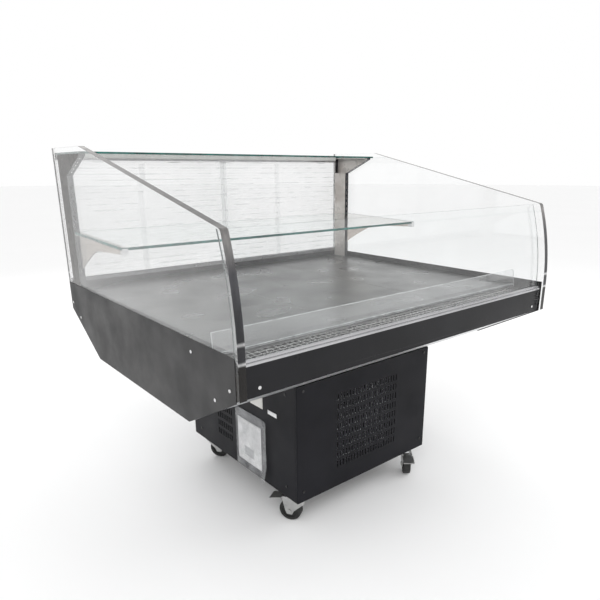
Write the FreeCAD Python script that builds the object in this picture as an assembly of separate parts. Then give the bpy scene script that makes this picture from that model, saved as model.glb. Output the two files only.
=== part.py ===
"""Refrigerated deli display case on a wheeled pedestal.

A shallow insulated well sits on a narrow black pedestal that holds the condensing unit. Thick clear end
panels, a curved front glass, a glass shelf and a glass roof enclose the display, the customer's side is
open above the front glass, and twin-wall sliding doors close the service side.

Axes: +X along the case towards its right end, +Y from the customer's side to the service side, +Z up.
Origin: centre of the footprint, on the floor. Lengths are millimetres. In the sections below a place is
given as (depth, height): depth is counted from the foremost point of the end panels towards the rear.
"""
import FreeCAD, Part
import math
import os

V = FreeCAD.Vector

# Overall sizes
case_length = 1300.0
case_depth = 1120.0
case_height = 1178.0
deck_height = 704.0

# Outline of the end panels, with heights counted from the deck
keel_drop = 212.0
chin_drop = 78.0
chin_run = 246.0
tail_drop = 74.0
tail_run = 236.0
cover_rise = 21.0
roof_run = 263.0
brow_rise = 292.0
brow_radius = 12.0
nose_radius = 875.0
nose_spring_rise = 11.0

# Sheet and plate thicknesses
end_panel_t = 20.0
cover_t = 1.5
fascia_t = 1.5
skin_t = 1.2
foam_t = 38.0
end_foam_t = 30.0
liner_t = 1.0
pan_t = 1.2
glass_t = 6.0
shelf_t = 8.0
riser_t = 5.0
door_t = 8.0

# Well and front edge
fascia_setback = 12.0
rear_setback = 5.0
cover_rear_setback = 4.0
belly_gap = 3.0
fascia_drop = 5.0
sill_depth = 30.0
sill_rise = 8.0
sill_step = 6.0
glass_setback = 24.0
glass_seat_drop = 3.0
glass_slot_gap = 0.2
glass_end_gap = 0.5
ledge_depth = 27.0

# Deck, grille and riser
pan_depth = 16.0
pan_count = 3
pan_gap = 1.5
pan_rear_gap = 2.0
pan_notch_gap = 3.0
grille_gap = 3.0
grille_drop = 6.0
grille_end_gap = 1.0
slot_length = 14.0
slot_width = 11.5
slot_pitch = 18.5
slot_rows = 3
slot_margin = 6.0
slot_row_pitch = 18.0
riser_front = 113.0
riser_rise = 52.0
riser_lean = 8.0
riser_foot = 14.0
riser_foot_t = 4.0

# Service side
track_rear_gap = 7.0
track_wall = 1.5
track_slot = 10.0
track_end_gap = 0.5
lower_track_h = 12.0
upper_track_h = 17.0
upright_width = 20.0
upright_depth = 73.0
upright_wall = 1.5
upright_slot_pitch = 25.0
upright_slot_h = 14.0
upright_slot_w = 4.0
gusset_height = 67.0
gusset_tip = 6.0
gusset_t = 2.0
gusset_slots = 5
gusset_slot_h = 14.0
bracket_reach = 141.0
roof_glass_drop = 15.0
door_overlap = 30.0
door_end_gap = 1.0
door_lift = 8.0
door_cap = 8.0
rib_pitch = 10.5
rib_t = 1.0
door_skin_t = 0.8
pull_width = 20.0
pull_offset = 38.0
pull_proud = 0.6
lamp_depth = 14.0
lamp_height = 12.0
lamp_edge_r = 5.0
lamp_end_gap = 8.0

# Shelf
shelf_reach = 403.0
shelf_rear_gap = 4.0
shelf_rise = 193.0
shelf_tilt = 1.7
shelf_end_gap = 3.0
arm_setback = 16.0
arm_root_drop = 124.0
arm_tip_h = 12.0
arm_web_t = 3.0
arm_flange_t = 2.5
arm_flange_w = 17.0
clip_width = 16.0
clip_lip = 6.0
clip_wall = 4.0

# Pedestal
pedestal_length = 610.0
pedestal_front = 238.0
pedestal_depth = 661.0
panel_t = 1.2
front_lip = 5.0
front_corner_r = 3.0
side_panel_gap = 2.5
frame_t = 2.5
post_front_leg = 32.0
post_side_leg = 66.0
vent_width = 280.0
vent_rise = 70.0
vent_top_margin = 50.0
vent_row_pitch = 34.0
vent_slot_h = 23.0
vent_slot_w = 4.5
side_vent_slot_w = 6.5
vent_slot_pitch = 13.0
side_vent_run = 375.0
side_vent_columns = 8
screw_inset = 25.0
screw_floor_inset = 36.0
screw_top_inset = 16.0
side_screw_run = 56.0
side_screw_rise = 2.0
side_screw_drop = 22.0

# Casters
wheel_diameter = 75.0
wheel_width = 25.0
wheel_edge_r = 3.0
hub_dish = 3.0
crown_gap = 13.0
swivel_height = 12.0
caster_inset_x = 47.0
caster_inset_y = 44.0
caster_trail = 34.0
axle_r = 4.0
axle_head_r = 6.5
axle_head_t = 3.5
kingpin_r = 6.0
kingpin_length = 8.0
running_gap = 0.05
fork_t = 2.5
fork_gap = 2.0
fork_nose = 19.0
fork_cheek = 15.0
fork_chin = 9.0
fork_drop = 13.0
plate_t = 2.5
plate_half = 31.0
plate_corner_r = 5.0
race_r = 21.0
race_gap = 0.3
pedal_pin_r = 2.5
pedal_barrel_r = 4.5
pedal_run = 17.0
pedal_drop = 8.0
pedal_reach = 52.0
pedal_width = 40.0
pedal_t = 3.0
caster_yaw = {
    "front_left": 122.0,
    "front_right": 229.0,
    "rear_left": -54.0,
    "rear_right": 66.0,
}
braked = ("front_left", "front_right")

# Fasteners
screw_r = 2.0
screw_head_r = 4.6
screw_head_h = 2.2
screw_head_edge_r = 0.9
screw_gap = 0.3
screw_bite = 6.0
tack_bite = 12.0
panel_screw_length = 9.0
fascia_screw_length = 8.0
bolt_r = 3.0
bolt_head_r = 5.2
bolt_head_h = 3.4
bolt_end = 4.0
bolt_spacing = 44.0

# Evaporator
fan_plate_depth = 230.0
fan_plate_t = 1.5
ledge_start_gap = 9.0
fan_share = 0.45
coil_share = 0.8
coil_gap = 100.0
coil_depth = 150.0
coil_floor_gap = 22.0
coil_top_gap = 20.0
coil_fin_pitch = 39.6
coil_fin_t = 1.0
tube_r = 5.0
tube_end = 8.0
header_t = 2.0
evaporator_fan_r = 50.0
evaporator_hub_r = 16.0
evaporator_fan_length = 12.0
evaporator_shaft_r = 3.0
evaporator_motor_r = 24.0
evaporator_motor_length = 34.0
fan_tip_gap = 4.0
fan_blades = 5
blade_t = 2.0
blade_pitch = 60.0
drain_r = 10.0
drain_wall = 1.5
drain_x = -40.0
drain_inset = 190.0

# Condensing unit
condenser_gap = 30.0
condenser_depth = 36.0
condenser_fin_pitch = 9.0
condenser_fan_run = 120.0
condenser_fan_r = 115.0
condenser_hub_r = 30.0
condenser_fan_length = 22.0
condenser_shaft_r = 5.0
condenser_motor_r = 42.0
condenser_motor_length = 60.0
shroud_t = 1.2
shroud_back_t = 1.5
shroud_gap = 8.5
compressor_x = 120.0
compressor_run = 400.0
compressor_r = 72.0
compressor_height = 158.4
compressor_foot_h = 14.0
foot_r = 9.0
pipe_x = 150.0
pipe_run = 322.0
pipe_spacing = 24.0
liquid_tube_r = 3.0
drier_r = 12.0
drier_length = 100.0
tray_wall = 3.0
tray_height = 34.0

# Rear panel controls
control_drop = 70.0
control_spacing = 300.0
controller_width = 71.0
controller_height = 29.0
controller_depth = 60.0
controller_bezel = 3.5
controller_bezel_t = 4.0
inlet_width = 28.0
inlet_height = 54.0
inlet_depth = 30.0
inlet_bezel_t = 3.0
socket_width = 24.0
socket_height = 17.0
socket_depth = 20.0
window_gap = 0.3
rocker_tilt = 8.0
rocker_pin_r = 2.0

# Document pouch
pouch_run = 153.0
pouch_width = 192.0
pouch_height = 222.0
pouch_rise = 5.0
pouch_t = 1.5

# Heights that follow
keel_height = deck_height - keel_drop
chin_height = deck_height - chin_drop
tail_height = deck_height - tail_drop
cover_top = deck_height + cover_rise
brow_height = deck_height + brow_rise
nose_spring = deck_height + nose_spring_rise
flange_height = deck_height - pan_depth
fascia_top = deck_height - fascia_drop
sill_top = deck_height + sill_rise
glass_foot = deck_height - glass_seat_drop
grille_height = deck_height - grille_drop
riser_top = deck_height + riser_rise
belly_height = keel_height + belly_gap
well_floor = belly_height + skin_t + foam_t + liner_t
ped_top = belly_height
crown_height = wheel_diameter + crown_gap
pedestal_floor = crown_height + swivel_height
machine_floor = pedestal_floor + frame_t
roof_glass_top = case_height - roof_glass_drop
bracket_top = roof_glass_top - glass_t
upright_top = bracket_top - gusset_height
shelf_front_top = deck_height + shelf_rise
arm_root_low = shelf_front_top - arm_root_drop
vent_bottom = pedestal_floor + vent_rise
vent_rows = int((ped_top - vent_top_margin - vent_bottom) / vent_row_pitch)
vent_top = vent_bottom + vent_rows * vent_row_pitch
screw_low = pedestal_floor + screw_floor_inset
screw_high = ped_top - screw_top_inset
fan_axis = (vent_bottom + vent_top) / 2

# Places along the case that follow
half = case_length / 2 - screw_head_h
panel_outer = half - cover_t
panel_inner = panel_outer - end_panel_t
cavity_half = panel_inner - end_foam_t
upright_inner = panel_inner - upright_width
upright_centre = panel_inner - upright_width / 2
ped_half = pedestal_length / 2

# Depths that follow
keel_rear = case_depth - tail_run
sill_rear = fascia_setback + sill_depth
grille_front = sill_rear + grille_gap
grille_rear = riser_front - 2.0
pan_front = riser_front + riser_foot + 1.0
ledge_front = case_depth - rear_setback - ledge_depth
pan_rear = ledge_front - pan_rear_gap
track_rear = case_depth - track_rear_gap
track_front = track_rear - 3 * track_wall - 2 * track_slot
upright_rear = track_front - 0.5
upright_front = upright_rear - upright_depth
shelf_rear = upright_front - shelf_rear_gap
shelf_front = shelf_rear - shelf_reach
arm_tip = shelf_front + arm_setback
pedestal_rear = pedestal_front + pedestal_depth





def at(x, depth, z):
    """Point from a place along the case, a depth from the front and a height."""
    return V(x, depth - case_depth / 2, z)


def block(x0, x1, d0, d1, z0, z1):
    return Part.makeBox(x1 - x0, d1 - d0, z1 - z0, at(x0, d0, z0))


def section(points):
    """Face in the depth-height plane through (depth, height) points."""
    return Part.Face(Part.makePolygon([at(0, d, z) for d, z in list(points) + [points[0]]]))


def bar(face, x0, x1):
    """A depth-height face swept along the case from x0 to x1."""
    moved = face.copy()
    moved.translate(V(x0, 0, 0))
    return moved.extrude(V(x1 - x0, 0, 0))


def prism(points, x0, x1):
    return bar(section(points), x0, x1)


def rod_x(x0, x1, depth, z, r):
    return Part.makeCylinder(r, x1 - x0, at(x0, depth, z), V(1, 0, 0))


def rod_y(x, d0, d1, z, r):
    return Part.makeCylinder(r, d1 - d0, at(x, d0, z), V(0, 1, 0))


def rod_z(x, depth, z0, z1, r):
    return Part.makeCylinder(r, z1 - z0, at(x, depth, z0))


def mirrored(shape):
    """The same shape at the other end of the case."""
    return shape.mirror(V(0, 0, 0), V(1, 0, 0))


def inset(points, distances):
    """Convex outline with each edge moved inwards by its own distance. Points run counter-clockwise."""
    count = len(points)
    lines = []
    for i in range(count):
        (d0, z0), (d1, z1) = points[i], points[(i + 1) % count]
        length = math.hypot(d1 - d0, z1 - z0)
        nx, nz = -(z1 - z0) / length, (d1 - d0) / length
        lines.append((nx, nz, nx * d0 + nz * z0 + distances[i]))
    result = []
    for i in range(count):
        a0, b0, c0 = lines[i - 1]
        a1, b1, c1 = lines[i]
        det = a0 * b1 - a1 * b0
        result.append(((c0 * b1 - c1 * b0) / det, (a0 * c1 - a1 * c0) / det))
    return result


def well_outline(top):
    """Lower outline of the case up to a height: front edge, front slope, keel, rear slope, rear edge."""
    return [
        (0, top),
        (0, chin_height),
        (chin_run, keel_height),
        (keel_rear, keel_height),
        (case_depth, tail_height),
        (case_depth, top),
    ]


def well_layer(depth_in, top):
    """Outline of one shell of the insulated well, a distance in from the fascia's inner face."""
    front = fascia_setback + fascia_t + depth_in
    slope = belly_gap + depth_in
    rear = rear_setback + fascia_t + depth_in
    return inset(well_outline(top), [front, slope, slope, slope, rear, 0])


def screw(x, depth, z, direction, length):
    """Pan-head screw whose head rests on the surface at the point and whose shank runs inwards."""
    base = at(x, depth, z)
    axis = V(*direction)
    shank = Part.makeCylinder(screw_r, length, base - axis * length, axis)
    head = Part.makeCylinder(screw_head_r, screw_head_h, base, axis)
    rim = [e for e in head.Edges if (e.CenterOfMass - base - axis * screw_head_h).Length < 0.01]
    return head.makeFillet(screw_head_edge_r, rim).fuse(shank)


def screw_hole(x, depth, z, direction, length):
    axis = V(*direction)
    return Part.makeCylinder(screw_r + screw_gap, length + 2, at(x, depth, z) - axis * (length + 1), axis)


def write(name, *solids):
    """Write one node: a single solid, or separate solids that share the node."""
    shapes = []
    for shape in solids:
        shapes.extend(shape.Solids)
    whole = shapes[0] if len(shapes) == 1 else Part.makeCompound(shapes)
    whole.exportStep("parts/" + name + ".step")


# ---------------------------------------------------------------- enclosure

def nose_arc(offset, z_low, z_high, reverse=False):
    """Arc of the bowed front, a distance in from the end panel's edge, between two heights."""
    r = nose_radius - offset
    low = math.asin((z_low - nose_spring) / r)
    high = math.asin((z_high - nose_spring) / r)
    places = []
    for angle in (low, (low + high) / 2, high):
        places.append(at(0, nose_radius - r * math.cos(angle), nose_spring + r * math.sin(angle)))
    if reverse:
        places.reverse()
    return Part.Arc(*places).toShape(), places


def line(a, b):
    return Part.LineSegment(a, b).toShape()


def cover_screw_places():
    """(depth, height) of the screws that hold a side cover and its end panel to the well."""
    return [
        (35, chin_height + 18),
        (103, chin_height - 26),
        (case_depth - 89, tail_height - 21),
        (case_depth - 26, tail_height + 23),
    ]


def cover_tack_place():
    """(depth, height) of the short screw that holds a side cover to its end panel only."""
    return (207, cover_top - 33)


def end_panel():
    """Left end panel: clear plate down to the bottom of the well, bowed at its front edge."""
    arc, places = nose_arc(0, nose_spring, brow_height)
    chin = at(0, 0, chin_height)
    outline = [
        line(chin, places[0]),
        arc,
        line(places[-1], at(0, case_depth - roof_run, case_height)),
        line(at(0, case_depth - roof_run, case_height), at(0, case_depth, case_height)),
        line(at(0, case_depth, case_height), at(0, case_depth, tail_height)),
        line(at(0, case_depth, tail_height), at(0, keel_rear, keel_height)),
        line(at(0, keel_rear, keel_height), at(0, chin_run, keel_height)),
        line(at(0, chin_run, keel_height), chin),
    ]
    panel = bar(Part.Face(Part.Wire(outline)), -panel_outer, -panel_inner)
    corner = places[-1]
    edges = []
    for edge in panel.Edges:
        mid = edge.CenterOfMass
        if abs(mid.y - corner.y) < 0.01 and abs(mid.z - corner.z) < 0.01:
            edges.append(edge)
    panel = panel.makeFillet(brow_radius, edges)
    places = cover_screw_places() + [cover_tack_place()]
    holes = [screw_hole(-panel_outer, d, z, (-1, 0, 0), end_panel_t) for d, z in places]
    return panel.cut(Part.makeCompound(holes))


def side_cover():
    """Left side cover: flat sheet screwed over the lower part of the end panel."""
    outline = inset(well_outline(cover_top), [fascia_setback, 0, 0, 0, cover_rear_setback, 0])
    plate = prism(outline, -half, -panel_outer)
    places = cover_screw_places() + [cover_tack_place()]
    holes = [screw_hole(-half, d, z, (-1, 0, 0), cover_t) for d, z in places]
    return plate.cut(Part.makeCompound(holes))


def fascia_screw_places():
    return [(x, chin_height + 17) for x in (-panel_inner + 41, panel_inner - 41)]


def cover_screws():
    screws = []
    long_screw = cover_t + end_panel_t + screw_bite
    short_screw = cover_t + tack_bite
    sets = [(place, long_screw) for place in cover_screw_places()] + [(cover_tack_place(), short_screw)]
    for (d, z), length in sets:
        left = screw(-half, d, z, (-1, 0, 0), length)
        screws.extend([left, mirrored(left)])
    for x, z in fascia_screw_places():
        screws.append(screw(x, fascia_setback, z, (0, -1, 0), fascia_screw_length))
    return screws


def fascia_holes():
    """Cutters for the fascia's screws, long enough for every layer behind it."""
    length = fascia_screw_length + 2
    return [screw_hole(x, fascia_setback, z, (0, -1, 0), length) for x, z in fascia_screw_places()]


def front_fascia():
    """Flat front panel of the well, from the chin up to the sill."""
    low = inset(well_outline(fascia_top), [fascia_setback, 0, 0, 0, rear_setback, 0])[1][1] + belly_gap
    d0 = fascia_setback
    plate = block(-panel_inner, panel_inner, d0, d0 + fascia_t, low, fascia_top)
    return plate.cut(Part.makeCompound(fascia_holes()))


def front_sill():
    """Extruded rail along the front: two ridges outside, a slot for the front glass inside."""
    d0 = fascia_setback
    d1 = fascia_setback + fascia_t
    slot_front = glass_setback - glass_slot_gap
    slot_rear = glass_setback + glass_t + glass_slot_gap
    shoulder = sill_top - sill_step
    points = [
        (d1, flange_height),
        (sill_rear, flange_height),
        (sill_rear, shoulder - 2),
        (sill_rear - 2, shoulder),
        (slot_rear, shoulder),
        (slot_rear, glass_foot),
        (slot_front, glass_foot),
        (slot_front, sill_top),
        (d0 + 7, sill_top),
        (d0 + 5, sill_top - 2),
        (d0 + 5, shoulder),
        (d0 + 1.5, shoulder - 1),
        (d0, shoulder - 2.5),
        (d0, fascia_top),
        (d1, fascia_top),
    ]
    return prism(points, -panel_inner, panel_inner)


def front_glass():
    """Bowed clear panel, concentric with the nose of the end panels."""
    top = brow_height - 3
    outer, places_out = nose_arc(glass_setback, glass_foot, top)
    inner, places_in = nose_arc(glass_setback + glass_t, glass_foot, top, reverse=True)
    outline = [
        outer,
        line(places_out[-1], places_in[0]),
        inner,
        line(places_in[-1], places_out[0]),
    ]
    return bar(Part.Face(Part.Wire(outline)), -panel_inner + glass_end_gap, panel_inner - glass_end_gap)


def roof_glass():
    x1 = panel_inner - glass_end_gap
    return block(-x1, x1, case_depth - roof_run, track_rear, bracket_top, roof_glass_top)


# ---------------------------------------------------------------- well and deck

def drain_place():
    return (drain_x, keel_rear - drain_inset)


def pipe_place():
    return (pipe_x, pedestal_front + pipe_run)


def service_holes(extra):
    """Cutter for the drain and the refrigerant pipes through the bottom of the well."""
    dx, dd = drain_place()
    px, pd = pipe_place()
    low = belly_height - 10
    high = well_floor + 20
    cutters = [rod_z(dx, dd, low, high, drain_r + extra)]
    for side in (-1, 1):
        cutters.append(rod_z(px + side * pipe_spacing / 2, pd, low, high, tube_r + extra))
    return Part.makeCompound(cutters)


def tub_underside():
    """Bent sheet that wraps the insulation below and behind the fascia."""
    top = flange_height - liner_t
    outer = prism(well_layer(0, top), -panel_inner, panel_inner)
    inner = prism(well_layer(skin_t, top + 5), -panel_inner - 1, panel_inner + 1)
    return outer.cut(inner).cut(Part.makeCompound(fascia_holes())).cut(service_holes(0.3))


def tub_insulation():
    top = flange_height - liner_t
    outer = prism(well_layer(skin_t, top), -panel_inner, panel_inner)
    inner = prism(well_layer(skin_t + foam_t, top + 5), -cavity_half - liner_t, cavity_half + liner_t)
    holes = fascia_holes()
    for d, z in cover_screw_places():
        left = screw_hole(-half, d, z, (-1, 0, 0), cover_t + end_panel_t + screw_bite + 2)
        holes.extend([left, mirrored(left)])
    return outer.cut(inner).cut(Part.makeCompound(holes)).cut(service_holes(0.3))


def tub_liner():
    """Stainless inner tub, made of strips that meet at its folds, with a flange all round that
    carries the deck, the sill and the uprights."""
    low = flange_height - liner_t
    deep = skin_t + foam_t
    outer = well_layer(deep, low)
    inner = well_layer(deep + liner_t, low)
    rim = well_layer(0, flange_height)
    front, rear = inner[0][0], inner[-1][0]
    pieces = [
        block(-panel_inner, panel_inner, rim[0][0], front, low, flange_height),
        block(-panel_inner, panel_inner, rear, rim[-1][0], low, flange_height),
    ]
    for x0, x1 in ((-panel_inner, -cavity_half), (cavity_half, panel_inner)):
        pieces.append(block(x0, x1, front, rear, low, flange_height))
    for x0, x1 in ((-cavity_half - liner_t, -cavity_half), (cavity_half, cavity_half + liner_t)):
        pieces.append(prism(outer, x0, x1))
    for i in range(len(outer) - 1):
        strip = [outer[i], outer[i + 1], inner[i + 1], inner[i]]
        pieces.append(prism(strip, -cavity_half, cavity_half))
    return [piece.cut(service_holes(0.1)) for piece in pieces]


def deck_pan(index):
    """Lift-out deck pan: flat sheet with its edges turned down, notched round an upright at each end."""
    width = 2 * panel_inner / pan_count
    x0 = -panel_inner + index * width + pan_gap / 2
    x1 = x0 + width - pan_gap
    top = block(x0, x1, pan_front, pan_rear, flange_height, deck_height)
    hollow = block(x0 + pan_t, x1 - pan_t, pan_front + pan_t, pan_rear - pan_t,
                   flange_height - 1, deck_height - pan_t)
    notches = []
    if index == 0:
        notches.append(-1)
    if index == pan_count - 1:
        notches.append(1)
    near = upright_inner - pan_notch_gap
    start = upright_front - pan_notch_gap
    for side in notches:
        corner = block(near, panel_inner + 1, start, pan_rear + 1, 0, case_height)
        wall = block(near - pan_t, panel_inner + 1, start - pan_t, pan_rear + 1, 0, case_height)
        if side < 0:
            corner = mirrored(corner)
            wall = mirrored(wall)
        top = top.cut(corner)
        hollow = hollow.cut(wall)
    return top.cut(hollow)


def return_grille():
    """Slotted lift-out grille over the return-air duct."""
    x1 = panel_inner - grille_end_gap
    top = block(-x1, x1, grille_front, grille_rear, flange_height, grille_height)
    hollow = block(-x1 - 1, x1 + 1, grille_front + pan_t, grille_rear - pan_t,
                   flange_height - 1, grille_height - pan_t)
    count = int((2 * x1 - 2 * slot_margin) / slot_pitch)
    middle = (grille_front + grille_rear) / 2
    slots = []
    for row in range(slot_rows):
        d0 = middle + (row - (slot_rows - 1) / 2) * slot_row_pitch - slot_width / 2
        for i in range(count):
            x = (i - (count - 1) / 2) * slot_pitch - slot_length / 2
            slots.append(block(x, x + slot_length, d0, d0 + slot_width, grille_height - 3, grille_height + 1))
    return top.cut(hollow).cut(Part.makeCompound(slots))


def air_riser():
    """Clear upstand behind the grille, leaning back, with a foot that meets the deck."""
    lean = math.tan(math.radians(riser_lean))
    high = riser_top - flange_height
    back = riser_front + riser_t
    toe = riser_front + riser_foot
    points = [
        (riser_front, flange_height),
        (back, flange_height),
        (back + (pan_depth - riser_foot_t) * lean, deck_height - riser_foot_t),
        (toe, deck_height - riser_foot_t),
        (toe, deck_height),
        (back + pan_depth * lean, deck_height),
        (back + high * lean, riser_top),
        (riser_front + high * lean, riser_top),
    ]
    return prism(points, -panel_inner + grille_end_gap, panel_inner - grille_end_gap)


def rear_ledge():
    """Black rear panel of the well: outer face, flat top for the door track and a lip down to the deck."""
    d1 = case_depth - rear_setback
    wall = block(-panel_inner, panel_inner, d1 - fascia_t, d1, tail_height + 2, cover_top)
    top = block(-panel_inner, panel_inner, ledge_front, d1, cover_top - fascia_t, cover_top)
    lip = block(-panel_inner, panel_inner, ledge_front, ledge_front + fascia_t, flange_height, cover_top)
    return wall.fuse([top, lip]).removeSplitter()


# ---------------------------------------------------------------- service side

def lane_front(lane):
    """Depth of the front of a track's groove, lane 0 in front of lane 1."""
    return track_front + track_wall + lane * (track_slot + track_wall)


def door_track(z_base, height, upwards):
    """Double channel along the rear: a web with three walls, open upwards or downwards."""
    x1 = panel_inner - track_end_gap
    low, high = (z_base, z_base + height) if upwards else (z_base - height, z_base)
    z0, z1 = (low + track_wall, high + 1) if upwards else (low - 1, high - track_wall)
    body = block(-x1, x1, track_front, track_rear, low, high)
    slots = []
    for lane in range(2):
        d = lane_front(lane)
        slots.append(block(-x1 - 1, x1 + 1, d, d + track_slot, z0, z1))
    return body.cut(Part.makeCompound(slots))


def door_tracks():
    lower = door_track(cover_top, lower_track_h, True)
    upper = door_track(bracket_top, upper_track_h, False)
    return [lower, upper]


def door_sheet(x0, x1, d0, z0, z1):
    """Twin-wall sheet: two skins joined by flat ribs that run along the case."""
    wires = [section([(d0, z0), (d0 + door_t, z0), (d0 + door_t, z1), (d0, z1)]).Wires[0]]
    cells = int((z1 - z0 - 2 * rib_t) / rib_pitch)
    start = (z0 + z1 - cells * rib_pitch) / 2
    near = d0 + door_skin_t
    far = d0 + door_t - door_skin_t
    for i in range(cells):
        a = start + i * rib_pitch + rib_t / 2
        b = start + (i + 1) * rib_pitch - rib_t / 2
        wires.append(section([(near, a), (far, a), (far, b), (near, b)]).Wires[0])
    return bar(Part.Face(wires), x0, x1)


def rear_door(side):
    """Twin-wall sliding door with end caps and a full-height pull strip on each face."""
    width = panel_inner + door_overlap / 2 - door_end_gap
    x0 = -panel_inner + door_end_gap if side < 0 else panel_inner - door_end_gap - width
    x1 = x0 + width
    d0 = lane_front(1 if side < 0 else 0) + (track_slot - door_t) / 2
    d1 = d0 + door_t
    z0 = cover_top + track_wall + 0.5
    z1 = bracket_top - track_wall - door_lift
    pieces = [
        door_sheet(x0 + door_cap, x1 - door_cap, d0, z0, z1),
        block(x0, x0 + door_cap, d0, d1, z0, z1),
        block(x1 - door_cap, x1, d0, d1, z0, z1),
    ]
    left = x0 + width / 2 - pull_offset - pull_width / 2
    low = z0 + lower_track_h + 3
    high = z1 - upper_track_h
    for d in (d0 - pull_proud, d1):
        pieces.append(block(left, left + pull_width, d, d + pull_proud, low, high))
    return pieces


def upright_slot_heights():
    low = arm_root_low - 2
    count = int((upright_top - 20 - low) / upright_slot_pitch) + 1
    return [low + i * upright_slot_pitch for i in range(count)]


def uprights():
    """Rectangular tubes inside the end panels, slotted at the front for the shelf arms."""
    x0, x1 = -panel_inner, -upright_inner
    d0, d1 = upright_front, upright_rear
    wall = upright_wall
    left = block(x0, x1, d0, d1, flange_height, upright_top)
    bore = block(x0 + wall, x1 - wall, d0 + wall, d1 - wall, flange_height - 1, upright_top + 1)
    s0 = -upright_centre - upright_slot_w / 2
    s1 = s0 + upright_slot_w
    slots = []
    for z in upright_slot_heights():
        slots.append(block(s0, s1, d0 - 1, d0 + wall + 1, z, z + upright_slot_h))
    left = left.cut(bore).cut(Part.makeCompound(slots))
    return [left, mirrored(left)]


def top_brackets():
    """Hollow gussets on the uprights that carry the roof glass, with a slotted slanting face."""
    t = gusset_t
    tip = upright_front - bracket_reach
    outline = [
        (upright_front, upright_top),
        (upright_rear, upright_top),
        (upright_rear, bracket_top),
        (tip, bracket_top),
        (tip, bracket_top - gusset_tip),
    ]
    body = prism(outline, -panel_inner, -upright_inner)
    core = prism(inset(outline, [t, t, t, t, t]), -panel_inner + t, -upright_inner + 1)
    rise = gusset_height - gusset_tip
    slope = math.degrees(math.atan2(rise, bracket_reach))
    slots = []
    for i in range(gusset_slots):
        share = (i + 1) / (gusset_slots + 1)
        corner = V(-upright_slot_w / 2, -gusset_slot_h / 2, -t - 2)
        cutter = Part.makeBox(upright_slot_w, gusset_slot_h, 2 * t + 4, corner)
        cutter.rotate(V(0, 0, 0), V(1, 0, 0), -slope)
        middle = at(-upright_centre, upright_front - share * bracket_reach, upright_top + share * rise)
        cutter.translate(middle)
        slots.append(cutter)
    left = body.cut(core).cut(Part.makeCompound(slots))
    return [left, mirrored(left)]


def led_lamp():
    """Slim lamp under the roof, on the front of the upper door track."""
    x1 = upright_inner - lamp_end_gap
    d0 = track_front - lamp_depth
    z0 = bracket_top - lamp_height
    body = block(-x1, x1, d0, track_front, z0, bracket_top)
    edges = []
    for edge in body.Edges:
        mid = edge.CenterOfMass
        if abs(mid.x) < 0.01 and mid.z < z0 + 1 and mid.y < at(0, d0 + 1, 0).y:
            edges.append(edge)
    return body.makeFillet(lamp_edge_r, edges)


# ---------------------------------------------------------------- shelf

def shelf_under(depth):
    """Height of the shelf's underside at a depth."""
    slope = math.tan(math.radians(shelf_tilt))
    return shelf_front_top - shelf_t + (depth - shelf_front) * slope


def shelf_glass():
    points = [
        (shelf_front, shelf_under(shelf_front)),
        (shelf_rear, shelf_under(shelf_rear)),
        (shelf_rear, shelf_under(shelf_rear) + shelf_t),
        (shelf_front, shelf_under(shelf_front) + shelf_t),
    ]
    return prism(points, -panel_inner + shelf_end_gap, panel_inner - shelf_end_gap)


def shelf_arms():
    """Curved cantilever arms hooked into the uprights, each with a flange under the glass."""
    root = upright_front
    top_root = shelf_under(root) - arm_flange_t
    top_tip = shelf_under(arm_tip) - arm_flange_t
    low_tip = top_tip - arm_tip_h
    curve_mid = at(0, root - 90, (arm_root_low + low_tip) / 2)
    curve_end = at(0, root - 175, low_tip - arm_tip_h)
    outline = [
        line(at(0, arm_tip, top_tip), at(0, arm_tip, low_tip)),
        line(at(0, arm_tip, low_tip), curve_end),
        Part.Arc(curve_end, curve_mid, at(0, root, arm_root_low)).toShape(),
        line(at(0, root, arm_root_low), at(0, root, top_root)),
        line(at(0, root, top_root), at(0, arm_tip, top_tip)),
    ]
    w0 = -upright_centre - arm_web_t / 2
    w1 = w0 + arm_web_t
    web = bar(Part.Face(Part.Wire(outline)), w0, w1)
    flange_points = [
        (arm_tip, top_tip),
        (root, top_root),
        (root, top_root + arm_flange_t),
        (arm_tip, top_tip + arm_flange_t),
    ]
    f0 = -upright_centre - arm_flange_w / 2
    pieces = [prism(flange_points, f0, f0 + arm_flange_w)]
    for z in upright_slot_heights():
        if arm_root_low - 5 < z < top_root - upright_slot_h - 2:
            pieces.append(block(w0, w1, root - 2, root + upright_wall + 2, z + 1, z + upright_slot_h - 2))
    left = web.fuse(pieces).removeSplitter()
    return [left, mirrored(left)]


def shelf_clips():
    """Front stops that grip the shelf glass at the arm tips."""
    x0 = -upright_centre - clip_width / 2
    x1 = x0 + clip_width
    foot = shelf_under(shelf_front)
    clip = block(x0, x1, shelf_front - clip_wall, arm_tip, foot - clip_wall - 10, foot + clip_lip)
    glass_room = block(x0 - 1, x1 + 1, shelf_front, arm_tip + 1, foot, case_height)
    clip = clip.cut(glass_room)
    return [clip, mirrored(clip)]


# ---------------------------------------------------------------- evaporator under the deck

def finned_coil(x0, x1, d0, d1, z0, z1, rows, per_row, pitch):
    """Tube-and-fin coil: plates across the case on straight tubes along it."""
    tubes = []
    for r in range(rows):
        for k in range(per_row):
            d = d0 + (d1 - d0) * (r + 0.5) / rows
            z = z0 + (z1 - z0) * (k + 0.5) / per_row
            tubes.append(rod_x(x0 - tube_end, x1 + tube_end, d, z, tube_r))
    plates = []
    count = int((x1 - x0) / pitch)
    step = (x1 - x0 - coil_fin_t) / count
    for i in range(count + 1):
        x = x0 + i * step
        plates.append(block(x, x + coil_fin_t, d0, d1, z0, z1))
    return plates[0].fuse(plates[1:] + tubes)


def fan_centres():
    return (-cavity_half * fan_share, cavity_half * fan_share)


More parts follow.
